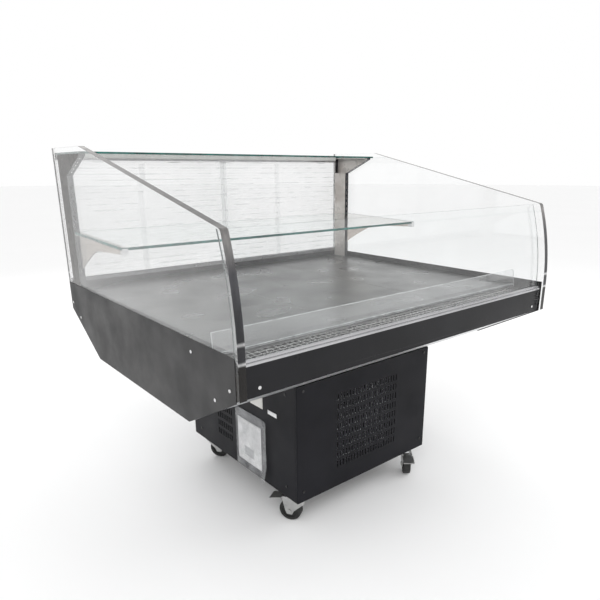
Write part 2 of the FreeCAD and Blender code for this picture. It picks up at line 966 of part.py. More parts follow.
def liner_floor(depth):
    """Height of the liner's inside on its front slope or its floor, at a depth."""
    outline = well_layer(skin_t + foam_t + liner_t, flange_height)
    (d1, z1), (d2, z2) = outline[1], outline[2]
    if depth > d2:
        return z2
    return z1 + (depth - d1) * (z2 - z1) / (d2 - d1)


def fan_axis_height():
    return (liner_floor(fan_plate_depth - 20) + flange_height) / 2


def evaporator_coil():
    """Evaporator with a header plate at its back, where the pipes join."""
    x1 = cavity_half * coil_share
    d0 = fan_plate_depth + coil_gap
    z0 = well_floor + coil_floor_gap
    z1 = flange_height - coil_top_gap
    coil = finned_coil(-x1, x1, d0, d0 + coil_depth, z0, z1, 3, 3, coil_fin_pitch)
    px = pipe_place()[0]
    back = d0 + coil_depth
    return coil.fuse(block(px - pipe_spacing, px + pipe_spacing, back - header_t, back, z0, z1))


def evaporator_fan_plate():
    """Upright plate with two fan openings; its ledge carries the grille, the riser and the deck pans."""
    x1 = cavity_half - 0.5
    d1 = fan_plate_depth
    d0 = d1 - fan_plate_t
    web = block(-x1, x1, d0, d1, liner_floor(d0) + 1, flange_height)
    ledge = block(-x1, x1, riser_front - ledge_start_gap, d1, flange_height - fan_plate_t, flange_height)
    holes = []
    for x in fan_centres():
        holes.append(rod_y(x, d1 - 5, d1 + 5, fan_axis_height(), evaporator_fan_r + fan_tip_gap))
    return web.fuse(ledge).cut(Part.makeCompound(holes))


def impeller(x, depth, z, hub_r, tip_r, length, bore_r):
    """Axial fan wheel about an axis along the depth of the case, its back at the given depth."""
    centre = at(x, depth, z)
    hub = Part.makeCylinder(hub_r, length, centre, V(0, -1, 0))
    vanes = []
    root = hub_r - 3
    for i in range(fan_blades):
        chord = hub_r * 1.3
        vane = Part.makeBox(tip_r - root, blade_t, chord, V(root, -blade_t / 2, -chord / 2))
        vane.rotate(V(0, 0, 0), V(1, 0, 0), blade_pitch)
        vane.rotate(V(0, 0, 0), V(0, 1, 0), 360.0 / fan_blades * i)
        vane.translate(centre + V(0, -length / 2, 0))
        vanes.append(vane)
    limit = Part.makeCylinder(tip_r, length * 2, centre + V(0, length / 2, 0), V(0, -1, 0))
    bore = Part.makeCylinder(bore_r, length + 2, centre + V(0, 1, 0), V(0, -1, 0))
    return hub.fuse(vanes).common(limit).cut(bore).removeSplitter()


def evaporator_fan(side):
    x = fan_centres()[0 if side < 0 else 1]
    bore_r = evaporator_shaft_r + running_gap
    return impeller(x, fan_plate_depth + 6, fan_axis_height(), evaporator_hub_r, evaporator_fan_r,
                    evaporator_fan_length, bore_r)


def condenser_fan_depth():
    return pedestal_front + condenser_fan_run


def motor(x, depth, z, body_r, length, shaft_r, shaft_reach, reach, strap, foot_depth):
    """Fan motor with its shaft to the front, held by a strap whose two feet stand on the fan's plate."""
    body = rod_y(x, depth, depth + length, z, body_r)
    shaft = rod_y(x, depth - shaft_reach, depth + 1, z, shaft_r)
    strap_front, strap_half = strap
    back = strap_front + 3
    pieces = [shaft, block(x - reach, x + reach, strap_front, back, z - strap_half, z + strap_half)]
    for side in (-1, 1):
        foot = x + side * reach
        pieces.append(block(foot - 2, foot + 2, foot_depth, back, z - strap_half, z + strap_half))
    return body.fuse(pieces)


def fan_motors():
    """Shaded-pole motors: two for the evaporator, one for the condenser."""
    motors = []
    depth = fan_plate_depth + 14
    for x in fan_centres():
        motors.append(motor(x, depth, fan_axis_height(), evaporator_motor_r, evaporator_motor_length,
                            evaporator_shaft_r, 20, evaporator_fan_r + 12, (depth + 10, 4), fan_plate_depth))
    depth = condenser_fan_depth() + 22
    motors.append(motor(0, depth, fan_axis, condenser_motor_r, condenser_motor_length, condenser_shaft_r,
                        46, condenser_fan_r + 22, (depth + 18, 6), condenser_fan_depth() + 2))
    return motors


def drain_pipe():
    """Tube from the well's floor down to the drip tray."""
    x, d = drain_place()
    low = machine_floor + tray_height - 4
    bore = rod_z(x, d, low - 1, well_floor + 1, drain_r - drain_wall)
    return rod_z(x, d, low, well_floor, drain_r).cut(bore)


# ---------------------------------------------------------------- pedestal

def bolt_places():
    """(x, depth) of every caster bolt."""
    places = []
    shift = bolt_spacing / 2
    for x, d in caster_places().values():
        for sx in (-1, 1):
            for sd in (-1, 1):
                places.append((x + sx * shift, d + sd * shift))
    return places


def frame_posts(x1, d0, d1, z0, z1):
    """Four angle posts, each with its wide leg along the side and its narrow leg across."""
    posts = []
    for side in (-1, 1):
        for near in (True, False):
            a = d0 if near else d1 - post_side_leg
            face = d0 if near else d1 - frame_t
            wide = block(x1 - frame_t, x1, a, a + post_side_leg, z0, z1)
            narrow = block(x1 - post_front_leg, x1, face, face + frame_t, z0, z1)
            post = wide.fuse(narrow).removeSplitter()
            posts.append(mirrored(post) if side < 0 else post)
    return posts


def pedestal_frame():
    """Welded chassis: floor pan, four angle posts and a top rim that the well sits on."""
    x1 = ped_half - panel_t
    d0 = pedestal_front + panel_t
    d1 = pedestal_rear - panel_t
    rim_low = ped_top - frame_t
    leg = post_front_leg
    rim = block(-x1, x1, d0, d1, rim_low, ped_top)
    middle = block(-x1 + leg, x1 - leg, d0 + leg, d1 - leg, rim_low - 1, ped_top + 1)
    pieces = [block(-x1, x1, d0, d1, pedestal_floor, machine_floor), rim.cut(middle)]
    pieces += frame_posts(x1, d0, d1, machine_floor, rim_low)
    holes = pedestal_holes(frame_t + panel_t + 4)
    for x, d in bolt_places():
        holes.append(rod_z(x, d, pedestal_floor - 5, pedestal_floor + 10, bolt_r + screw_gap))
    cutter = Part.makeCompound(holes)
    return [piece.cut(cutter) for piece in pieces]


def front_screw_places():
    x = ped_half - screw_inset
    return [(sx * x, z) for sx in (-1, 1) for z in (screw_low, screw_high)]


def side_screw_places():
    depths = (pedestal_front + side_screw_run, pedestal_rear - side_screw_run)
    heights = (screw_low + side_screw_rise, screw_high - side_screw_drop)
    return [(d, z) for d in depths for z in heights]


def pedestal_holes(length):
    """Cutters for every screw through the pedestal's panels."""
    holes = []
    for x, z in front_screw_places():
        holes.append(screw_hole(x, pedestal_front, z, (0, -1, 0), length))
        holes.append(screw_hole(x, pedestal_rear, z, (0, 1, 0), length))
    for d, z in side_screw_places():
        left = screw_hole(-ped_half, d, z, (-1, 0, 0), length)
        holes.extend([left, mirrored(left)])
    return holes


def pedestal_screws():
    """Panel screws and the caster bolts."""
    screws = []
    for x, z in front_screw_places():
        screws.append(screw(x, pedestal_front, z, (0, -1, 0), panel_screw_length))
        screws.append(screw(x, pedestal_rear, z, (0, 1, 0), panel_screw_length))
    for d, z in side_screw_places():
        left = screw(-ped_half, d, z, (-1, 0, 0), panel_screw_length)
        screws.extend([left, mirrored(left)])
    low = pedestal_floor - plate_t
    for x, d in bolt_places():
        head = rod_z(x, d, low - bolt_head_h, low, bolt_head_r)
        screws.append(head.fuse(rod_z(x, d, low, machine_floor + bolt_end, bolt_r)))
    return screws


def vent_field(depth, rows):
    """Rows of upright slots in a panel that faces the front or the rear."""
    count = int(vent_width / vent_slot_pitch) + 1
    cutters = []
    for row in range(rows):
        z = vent_bottom + row * vent_row_pitch
        for i in range(count):
            x = (i - (count - 1) / 2) * vent_slot_pitch - vent_slot_w / 2
            cutters.append(block(x, x + vent_slot_w, depth - 2, depth + panel_t + 2, z, z + vent_slot_h))
    return Part.makeCompound(cutters)


def front_panel():
    """Front panel: a flat face with shallow lips turned back round rounded corners."""
    d0 = pedestal_front
    d1 = pedestal_front + front_lip
    body = block(-ped_half, ped_half, d0, d1, pedestal_floor, ped_top - 1)
    face_y = at(0, d0, 0).y
    edges = []
    for edge in body.Edges:
        mid = edge.CenterOfMass
        if abs(mid.y - face_y) < 0.01 and abs(abs(mid.x) - ped_half) < 0.01:
            edges.append(edge)
    body = body.makeFillet(front_corner_r, edges)
    x1 = ped_half - panel_t
    hollow = block(-x1, x1, d0 + panel_t, d1 + 1, pedestal_floor - 1, ped_top)
    holes = Part.makeCompound(pedestal_holes(panel_t))
    return body.cut(hollow).cut(vent_field(d0, vent_rows)).cut(holes)


def side_panel():
    """Left side panel with a vent field near its middle."""
    x0 = -ped_half
    x1 = -ped_half + panel_t
    d0 = pedestal_front + front_lip + side_panel_gap
    plate = block(x0, x1, d0, pedestal_rear - panel_t, pedestal_floor, ped_top - 1)
    cutters = []
    for row in range(vent_rows):
        z = vent_bottom + row * vent_row_pitch
        for i in range(side_vent_columns):
            d = pedestal_front + side_vent_run + i * vent_slot_pitch
            cutters.append(block(x0 - 1, x1 + 1, d, d + side_vent_slot_w, z, z + vent_slot_h))
    return plate.cut(Part.makeCompound(cutters)).cut(Part.makeCompound(pedestal_holes(panel_t)))


def control_place(side):
    """Centre (x, height) of the controller (side -1) or of the inlet module (side 1) on the rear panel."""
    return (side * control_spacing / 2, ped_top - control_drop)


def window(side, width, height):
    """Cutter for a clipped-in module of that size."""
    x, z = control_place(side)
    half_w = width / 2 + window_gap
    half_h = height / 2 + window_gap
    d = pedestal_rear
    return block(x - half_w, x + half_w, d - panel_t - 1, d + 1, z - half_h, z + half_h)


def rear_panel():
    """Rear panel with a vent field, a window for the controller and one for the inlet module."""
    d0 = pedestal_rear - panel_t
    plate = block(-ped_half, ped_half, d0, pedestal_rear, pedestal_floor, ped_top - 1)
    windows = [window(-1, controller_width, controller_height), window(1, inlet_width, inlet_height)]
    holes = Part.makeCompound(windows + pedestal_holes(panel_t))
    return plate.cut(holes).cut(vent_field(d0, vent_rows - 3))


# ---------------------------------------------------------------- condensing unit and controls

def condenser_coil():
    """Condenser just behind the front vents."""
    x1 = vent_width / 2
    d0 = pedestal_front + condenser_gap
    d1 = d0 + condenser_depth
    return finned_coil(-x1, x1, d0, d1, vent_bottom - 10, vent_top, 2, 8, condenser_fin_pitch)


def fan_shroud():
    """Sheet shroud behind the condenser with a round opening for the fan."""
    x1 = vent_width / 2 + shroud_gap
    z0 = vent_bottom - 12
    z1 = vent_top + 2
    d0 = pedestal_front + condenser_gap
    back = condenser_fan_depth() + 2
    face = back - shroud_back_t
    t = shroud_t
    outer = block(-x1, x1, d0, back, z0, z1)
    inner = block(-x1 + t, x1 - t, d0 - 1, face, z0 + t, z1 - t)
    foot = block(-x1, x1, face, back, machine_floor, z0 + t)
    tubes_room = block(-x1 - 1, x1 + 1, d0 - 1, d0 + condenser_depth + 4, z0 + 8, z1 - 8)
    opening = rod_y(0, d0, back + 8, fan_axis, condenser_fan_r + fan_tip_gap)
    return outer.cut(inner).fuse(foot).cut(opening).cut(tubes_room).removeSplitter()


def condenser_fan():
    bore_r = condenser_shaft_r + running_gap
    return impeller(0, condenser_fan_depth() + 8, fan_axis, condenser_hub_r, condenser_fan_r,
                    condenser_fan_length, bore_r)


def compressor_place():
    return (compressor_x, pedestal_front + compressor_run)


def compressor():
    """Hermetic compressor: domed shell on a foot plate with rubber-bushed feet and a terminal box."""
    x, d = compressor_place()
    r = compressor_r
    z0 = machine_floor + compressor_foot_h
    shell = rod_z(x, d, z0, z0 + compressor_height, r)
    rims = [e for e in shell.Edges if e.Length > 3 * r and e.Closed]
    shell = shell.makeFillet(r * 0.45, rims)
    pieces = [
        rod_z(x, d, z0 + r, z0 + r + 6, r + 2.5),
        block(x - r - 20, x + r + 20, d - r * 0.8, d + r * 0.8, z0 - 3, z0 + 4),
        block(x - r - 26, x - r + 12, d - 22, d + 22, z0 + 50, z0 + 112),
    ]
    for sx in (-1, 1):
        for sd in (-1, 1):
            pieces.append(rod_z(x + sx * (r + 10), d + sd * r * 0.6, machine_floor, z0 + 6, foot_r))
    return shell.fuse(pieces).removeSplitter()


def pipe(points, radius, bend):
    """Tube of round section along straight runs joined by arcs of one bend radius."""
    edges = []
    start = points[0]
    for i in range(1, len(points) - 1):
        a, b, c = points[i - 1], points[i], points[i + 1]
        u = (a - b).normalize()
        w = (c - b).normalize()
        angle = math.pi - u.getAngle(w)
        back = bend * math.tan(angle / 2)
        enter, leave = b + u * back, b + w * back
        centre_dir = (u + w).normalize()
        apex = b + centre_dir * (bend / math.cos(angle / 2) - bend)
        edges.append(line(start, enter))
        edges.append(Part.Arc(enter, apex, leave).toShape())
        start = leave
    edges.append(line(start, points[-1]))
    path = Part.Wire(edges)
    direction = (points[1] - points[0]).normalize()
    ring = Part.Wire([Part.makeCircle(radius, points[0], direction)])
    return path.makePipeShell([ring], True, False)


def refrigerant_pipes():
    """Suction and liquid lines up into the well, with the drier in the liquid line."""
    x, d = compressor_place()
    px, pd = pipe_place()
    top = machine_floor + compressor_foot_h + compressor_height
    coil_rear = fan_plate_depth + coil_gap + coil_depth
    suction_x = px + pipe_spacing / 2
    liquid_x = px - pipe_spacing / 2
    suction = pipe([
        at(x, d, top),
        at(x, d, top + 60),
        at(suction_x, d, top + 60),
        at(suction_x, pd, top + 60),
        at(suction_x, pd, well_floor + 60),
        at(suction_x, coil_rear, well_floor + 60),
    ], tube_r, 14)
    dx = 30 - vent_width / 2
    dd = pd + 30
    liquid = pipe([
        at(dx, pedestal_front + 150, pedestal_floor + 40),
        at(dx, dd, pedestal_floor + 40),
        at(dx, dd, ped_top - 40),
        at(liquid_x, dd, ped_top - 40),
        at(liquid_x, pd, ped_top - 40),
        at(liquid_x, pd, well_floor + 30),
        at(liquid_x, coil_rear, well_floor + 30),
    ], liquid_tube_r, 12)
    drier = rod_z(dx, dd, pedestal_floor + 120, pedestal_floor + 120 + drier_length, drier_r)
    return [suction, liquid.fuse(drier)]


def drip_tray():
    """Open tray under the drain pipe, where the melt water evaporates."""
    x, d = drain_place()
    z0 = machine_floor
    wall = tray_wall
    x0, x1 = x - 200, x + 55
    d0, d1 = d - 70, d + 90
    outer = block(x0, x1, d0, d1, z0, z0 + tray_height)
    inner = block(x0 + wall, x1 - wall, d0 + wall, d1 - wall, z0 + wall, z0 + tray_height + 1)
    return outer.cut(inner)


def controller():
    """Electronic thermostat with a flush keypad, clipped into the rear panel."""
    x, z = control_place(-1)
    face = pedestal_rear
    half_w = controller_width / 2
    half_h = controller_height / 2
    edge = controller_bezel
    body = block(x - half_w, x + half_w, face - controller_depth, face, z - half_h, z + half_h)
    bezel = block(x - half_w - edge, x + half_w + edge, face, face + controller_bezel_t,
                  z - half_h - edge, z + half_h + edge)
    front = [e for e in bezel.Edges if e.CenterOfMass.y > at(0, face + controller_bezel_t - 0.1, 0).y]
    bezel = bezel.makeFillet(1.5, front)
    rim = face + controller_bezel_t
    display = block(x - 26, x + 8, rim - 0.8, rim + 1, z - 9, z + 9)
    return body.fuse(bezel).cut(display).removeSplitter()


def rocker_height():
    return control_place(1)[1] + 12


def inlet_module():
    """Mains inlet socket with a housing for the rocker switch above it."""
    x, z = control_place(1)
    face = pedestal_rear
    half_w = inlet_width / 2
    half_h = inlet_height / 2
    body = block(x - half_w, x + half_w, face - inlet_depth, face, z - half_h, z + half_h)
    bezel = block(x - half_w - 3, x + half_w + 3, face, face + inlet_bezel_t, z - half_h - 4, z + half_h + 4)
    s = socket_width / 2
    low = z - half_h + 4
    socket = block(x - s, x + s, face - socket_depth, face + 5, low, low + socket_height)
    pins = []
    for dx, dz in ((-7, 0), (0, 4), (7, 0)):
        z0 = low + 6.5 + dz
        pins.append(block(x + dx - 1, x + dx + 1, face - socket_depth - 1, face - 6, z0, z0 + 5))
    room = block(x - 11, x + 11, face - 16, face + 5, z - 1, z + 25)
    bores = rod_x(x - 12.5, x + 12.5, face - 4, rocker_height(), rocker_pin_r + running_gap)
    return body.fuse(bezel).cut(socket).cut(room).fuse(pins).cut(bores).removeSplitter()


def power_switch():
    """Rocker on two stub pins, one half pressed in."""
    x = control_place(1)[0]
    pivot_d = pedestal_rear - 4
    z = rocker_height()
    points = [
        (pivot_d - 7, z - 5),
        (pivot_d + 4, z - 11.2),
        (pivot_d + 9, z - 11.5),
        (pivot_d + 5.5, z),
        (pivot_d + 9, z + 11.5),
        (pivot_d + 4, z + 11.2),
        (pivot_d - 7, z + 5),
    ]
    rocker = prism(points, x - 10.6, x + 10.6)
    rocker.rotate(at(x, pivot_d, z), V(1, 0, 0), rocker_tilt)
    stubs = rod_x(x - 12.4, x + 12.4, pivot_d, z, rocker_pin_r)
    return rocker.fuse(stubs).removeSplitter()


# ---------------------------------------------------------------- casters

def caster_places():
    """Swivel axes (x, depth) of the four casters."""
    x = ped_half - caster_inset_x
    front = pedestal_front + caster_inset_y
    rear = pedestal_rear - caster_inset_y
    return {
        "front_left": (-x, front),
        "front_right": (x, front),
        "rear_left": (-x, rear),
        "rear_right": (x, rear),
    }


def caster_plates():
    """Top plates with their ball races, bolted under the chassis."""
    plates = []
    half_plate = plate_half
    low = pedestal_floor - plate_t
    holes = [rod_z(x, d, low - 3, pedestal_floor + 1, bolt_r + screw_gap) for x, d in bolt_places()]
    for x, d in caster_places().values():
        plate = block(x - half_plate, x + half_plate, d - half_plate, d + half_plate, low, pedestal_floor)
        upright_edges = [e for e in plate.Edges if abs(e.Length - plate_t) < 0.01]
        plate = plate.makeFillet(plate_corner_r, upright_edges)
        race = rod_z(x, d, crown_height + race_gap, low, race_r)
        bore = rod_z(x, d, crown_height - 1, pedestal_floor - 1.0, kingpin_r + running_gap)
        plates.append(plate.fuse(race).cut(Part.makeCompound([bore] + holes)).removeSplitter())
    return plates


def placed(shape, name):
    """Turn a caster piece about its swivel axis and stand it under its corner."""
    x, d = caster_places()[name]
    shape.rotate(V(0, 0, 0), V(0, 0, 1), caster_yaw[name])
    shape.translate(at(x, d, 0))
    return shape


def pedal_pin():
    """(distance behind the swivel axis, height) of the brake pedal's pin."""
    return (caster_trail + pedal_run, crown_height - pedal_drop)


def local_plate(points, y0, y1):
    """Plate across a caster: (distance along the trail, height) outline, swept from y0 to y1."""
    face = Part.Face(Part.makePolygon([V(a, y0, z) for a, z in list(points) + [points[0]]]))
    return face.extrude(V(0, y1 - y0, 0))


def local_rod(along, z, y0, y1, r):
    """Round bar across a caster, from y0 to y1."""
    return Part.makeCylinder(r, y1 - y0, V(along, y0, z), V(0, 1, 0))


def caster_fork(name):
    """Fork with its kingpin, and the axle bolt through it."""
    axle_z = wheel_diameter / 2
    inner = wheel_width / 2 + fork_gap
    outer = inner + fork_t
    reach = pedal_pin()[0] + 7 if name in braked else caster_trail + 6
    points = [
        (-fork_nose, crown_height - 14),
        (caster_trail - fork_cheek, axle_z),
        (caster_trail - fork_chin, axle_z - fork_drop),
        (caster_trail + fork_chin, axle_z - fork_drop),
        (caster_trail + fork_cheek, axle_z),
        (reach, crown_height - 15),
        (reach, crown_height),
        (-fork_nose, crown_height),
    ]
    corner = V(-fork_nose, -outer, crown_height - fork_t)
    crown = Part.makeBox(caster_trail + 12, 2 * outer, fork_t, corner)
    pin = Part.makeCylinder(kingpin_r, kingpin_length, V(0, 0, crown_height))
    fork = local_plate(points, inner, outer).fuse([local_plate(points, -outer, -inner), crown, pin])
    cutters = [local_rod(caster_trail, axle_z, -2 * outer, 2 * outer, axle_r)]
    if name in braked:
        px, pz = pedal_pin()
        cutters.append(local_rod(px, pz, -2 * outer, 2 * outer, pedal_pin_r + running_gap))
    fork = fork.cut(Part.makeCompound(cutters)).removeSplitter()
    bolt = local_rod(caster_trail, axle_z, -outer, outer, axle_r).fuse([
        local_rod(caster_trail, axle_z, outer, outer + axle_head_t, axle_head_r),
        local_rod(caster_trail, axle_z, -outer - axle_head_t, -outer, axle_head_r),
    ])
    return [placed(fork, name), placed(bolt, name)]


def caster_wheel(name):
    """Wheel with a rounded tread and a recessed hub face, running on the axle."""
    r = wheel_diameter / 2
    w = wheel_width / 2
    wheel = local_rod(caster_trail, r, -w, w, r)
    rims = [e for e in wheel.Edges if e.Closed and e.Length > 5 * r]
    cutters = [local_rod(caster_trail, r, -w - 1, w + 1, axle_r + running_gap)]
    for y0, y1 in ((-w - 1, -w + hub_dish), (w - hub_dish, w + 1)):
        ring = local_rod(caster_trail, r, y0, y1, r * 0.72)
        cutters.append(ring.cut(local_rod(caster_trail, r, y0, y1, r * 0.30)))
    return placed(wheel.makeFillet(wheel_edge_r, rims).cut(Part.makeCompound(cutters)), name)


def brake_pedal(name):
    """Foot pedal on a pin through the fork, with a shoe over the tread."""
    px, pz = pedal_pin()
    t = pedal_t
    inner = wheel_width / 2 + fork_gap
    outer = inner + fork_t
    side = inner - 0.6
    tip = px + pedal_reach
    edge = [(tip, pz - 4), (tip, pz - 4 - t)]
    narrow_outline = [(px - 6, pz + t), (px + 14, pz + t)] + edge + [(px + 14, pz), (px - 6, pz)]
    wide_outline = [(px + 12, pz + t + 0.4)] + edge + [(px + 12, pz + 0.4)]
    pieces = [
        local_plate(wide_outline, -pedal_width / 2, pedal_width / 2),
        Part.makeBox(8, 2 * inner - 6, 6, V(px - 4, -inner + 3, pz - 5)),
        local_rod(px, pz, -outer, outer, pedal_pin_r),
        local_rod(px, pz, -side, side, pedal_barrel_r),
    ]
    return placed(local_plate(narrow_outline, -side, side).fuse(pieces).removeSplitter(), name)


def document_pouch():
    """Clear pouch with the papers, hung flat on the left panel of the pedestal."""
    x1 = -ped_half
    d0 = pedestal_front + pouch_run
    z0 = pedestal_floor + pouch_rise
    return block(x1 - pouch_t, x1, d0, d0 + pouch_width, z0, z0 + pouch_height)


def main():
    os.makedirs("parts", exist_ok=True)
    panel = end_panel()
    write("end_panel_left", panel)
    write("end_panel_right", mirrored(panel))
    cover = side_cover()
    write("side_cover_left", cover)
    write("side_cover_right", mirrored(cover))
    write("cover_screws", *cover_screws())
    write("front_fascia", front_fascia())
    write("front_sill", front_sill())
    write("front_glass", front_glass())
    write("roof_glass", roof_glass())
    write("tub_underside", tub_underside())
    write("tub_insulation", tub_insulation())
    write("tub_liner", *tub_liner())
    for index, side in enumerate(("left", "centre", "right")):
        write("deck_pan_" + side, deck_pan(index))
    write("return_grille", return_grille())
    write("air_riser", air_riser())
    write("rear_ledge", rear_ledge())
    write("door_tracks", *door_tracks())
    write("rear_door_left", *rear_door(-1))
    write("rear_door_right", *rear_door(1))
    write("rear_uprights", *uprights())
    write("top_brackets", *top_brackets())
    write("led_lamp", led_lamp())
    write("shelf_glass", shelf_glass())
    write("shelf_arms", *shelf_arms())
    write("shelf_clips", *shelf_clips())
    write("evaporator_coil", evaporator_coil())
    write("evaporator_fan_plate", evaporator_fan_plate())
    write("evaporator_fan_left", evaporator_fan(-1))
    write("evaporator_fan_right", evaporator_fan(1))
    write("fan_motors", *fan_motors())
    write("drain_pipe", drain_pipe())
    write("pedestal_frame", *pedestal_frame())
    write("pedestal_front_panel", front_panel())
    side = side_panel()
    write("pedestal_side_left", side)
    write("pedestal_side_right", mirrored(side))
    write("pedestal_rear_panel", rear_panel())
    write("pedestal_screws", *pedestal_screws())
    write("condenser_coil", condenser_coil())
    write("fan_shroud", fan_shroud())
    write("condenser_fan", condenser_fan())
    write("compressor", compressor())
    write("refrigerant_pipes", *refrigerant_pipes())
    write("drip_tray", drip_tray())
    write("controller", controller())
    write("power_inlet", inlet_module())
    write("power_switch", power_switch())
    write("caster_plates", *caster_plates())
    for name in caster_places():
        write("caster_fork_" + name, *caster_fork(name))
        write("caster_wheel_" + name, caster_wheel(name))
    for name in braked:
        write("brake_pedal_" + name, brake_pedal(name))
    write("document_pouch", document_pouch())


main()
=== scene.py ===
import math

import bmesh
import bpy
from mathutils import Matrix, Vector


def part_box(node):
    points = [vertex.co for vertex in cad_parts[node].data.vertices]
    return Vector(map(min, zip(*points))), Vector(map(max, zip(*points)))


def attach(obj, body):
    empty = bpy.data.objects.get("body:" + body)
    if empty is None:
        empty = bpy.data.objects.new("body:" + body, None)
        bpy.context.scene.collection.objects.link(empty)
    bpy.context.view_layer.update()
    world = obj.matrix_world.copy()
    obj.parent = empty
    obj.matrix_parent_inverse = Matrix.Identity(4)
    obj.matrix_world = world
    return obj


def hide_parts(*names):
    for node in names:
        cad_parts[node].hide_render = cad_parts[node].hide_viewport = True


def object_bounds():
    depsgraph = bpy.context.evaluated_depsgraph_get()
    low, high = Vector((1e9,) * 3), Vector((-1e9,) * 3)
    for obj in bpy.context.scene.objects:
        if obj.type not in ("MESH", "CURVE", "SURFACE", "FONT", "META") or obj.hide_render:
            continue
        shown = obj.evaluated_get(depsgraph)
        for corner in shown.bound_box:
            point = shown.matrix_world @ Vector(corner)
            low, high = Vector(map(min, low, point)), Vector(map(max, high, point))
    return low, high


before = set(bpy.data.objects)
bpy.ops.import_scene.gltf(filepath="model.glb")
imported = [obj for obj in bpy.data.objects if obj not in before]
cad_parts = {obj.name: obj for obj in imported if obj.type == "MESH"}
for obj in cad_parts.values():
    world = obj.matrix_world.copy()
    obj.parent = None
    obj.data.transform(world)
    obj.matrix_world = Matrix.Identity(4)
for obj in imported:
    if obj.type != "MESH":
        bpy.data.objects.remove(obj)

cad_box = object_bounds()

MM = 0.001
X_AXIS, Y_AXIS, Z_AXIS = 0, 1, 2
ALONG_X, ALONG_Y, ALONG_Z = (0.03, 1, 1), (1, 0.03, 1), (1, 1, 0.03)    # noise drawn out

FINE_GRAIN = 0.1 * MM           # depths that bumps stand for
ORANGE_PEEL = 0.15 * MM
FOAM_CELLS = 0.6 * MM
CRUMPLES = 1.2 * MM

BEVEL_SAMPLES = 4
WORN_COSINE, SOUND_COSINE = 0.90, 0.995     # flat to rounded normal, on a worn edge and off it
WEAR_WIDTH = 0.8 * MM
RUBBED = (0.10, 0.10, 0.105)
DUST = (0.92, 0.93, 0.94)
PAINTED_GLINT_PITCH, PAINTED_GLINT_SHARE = 21 * MM, 0.12    # painted highlights: fine bright lines on the ribbed doors
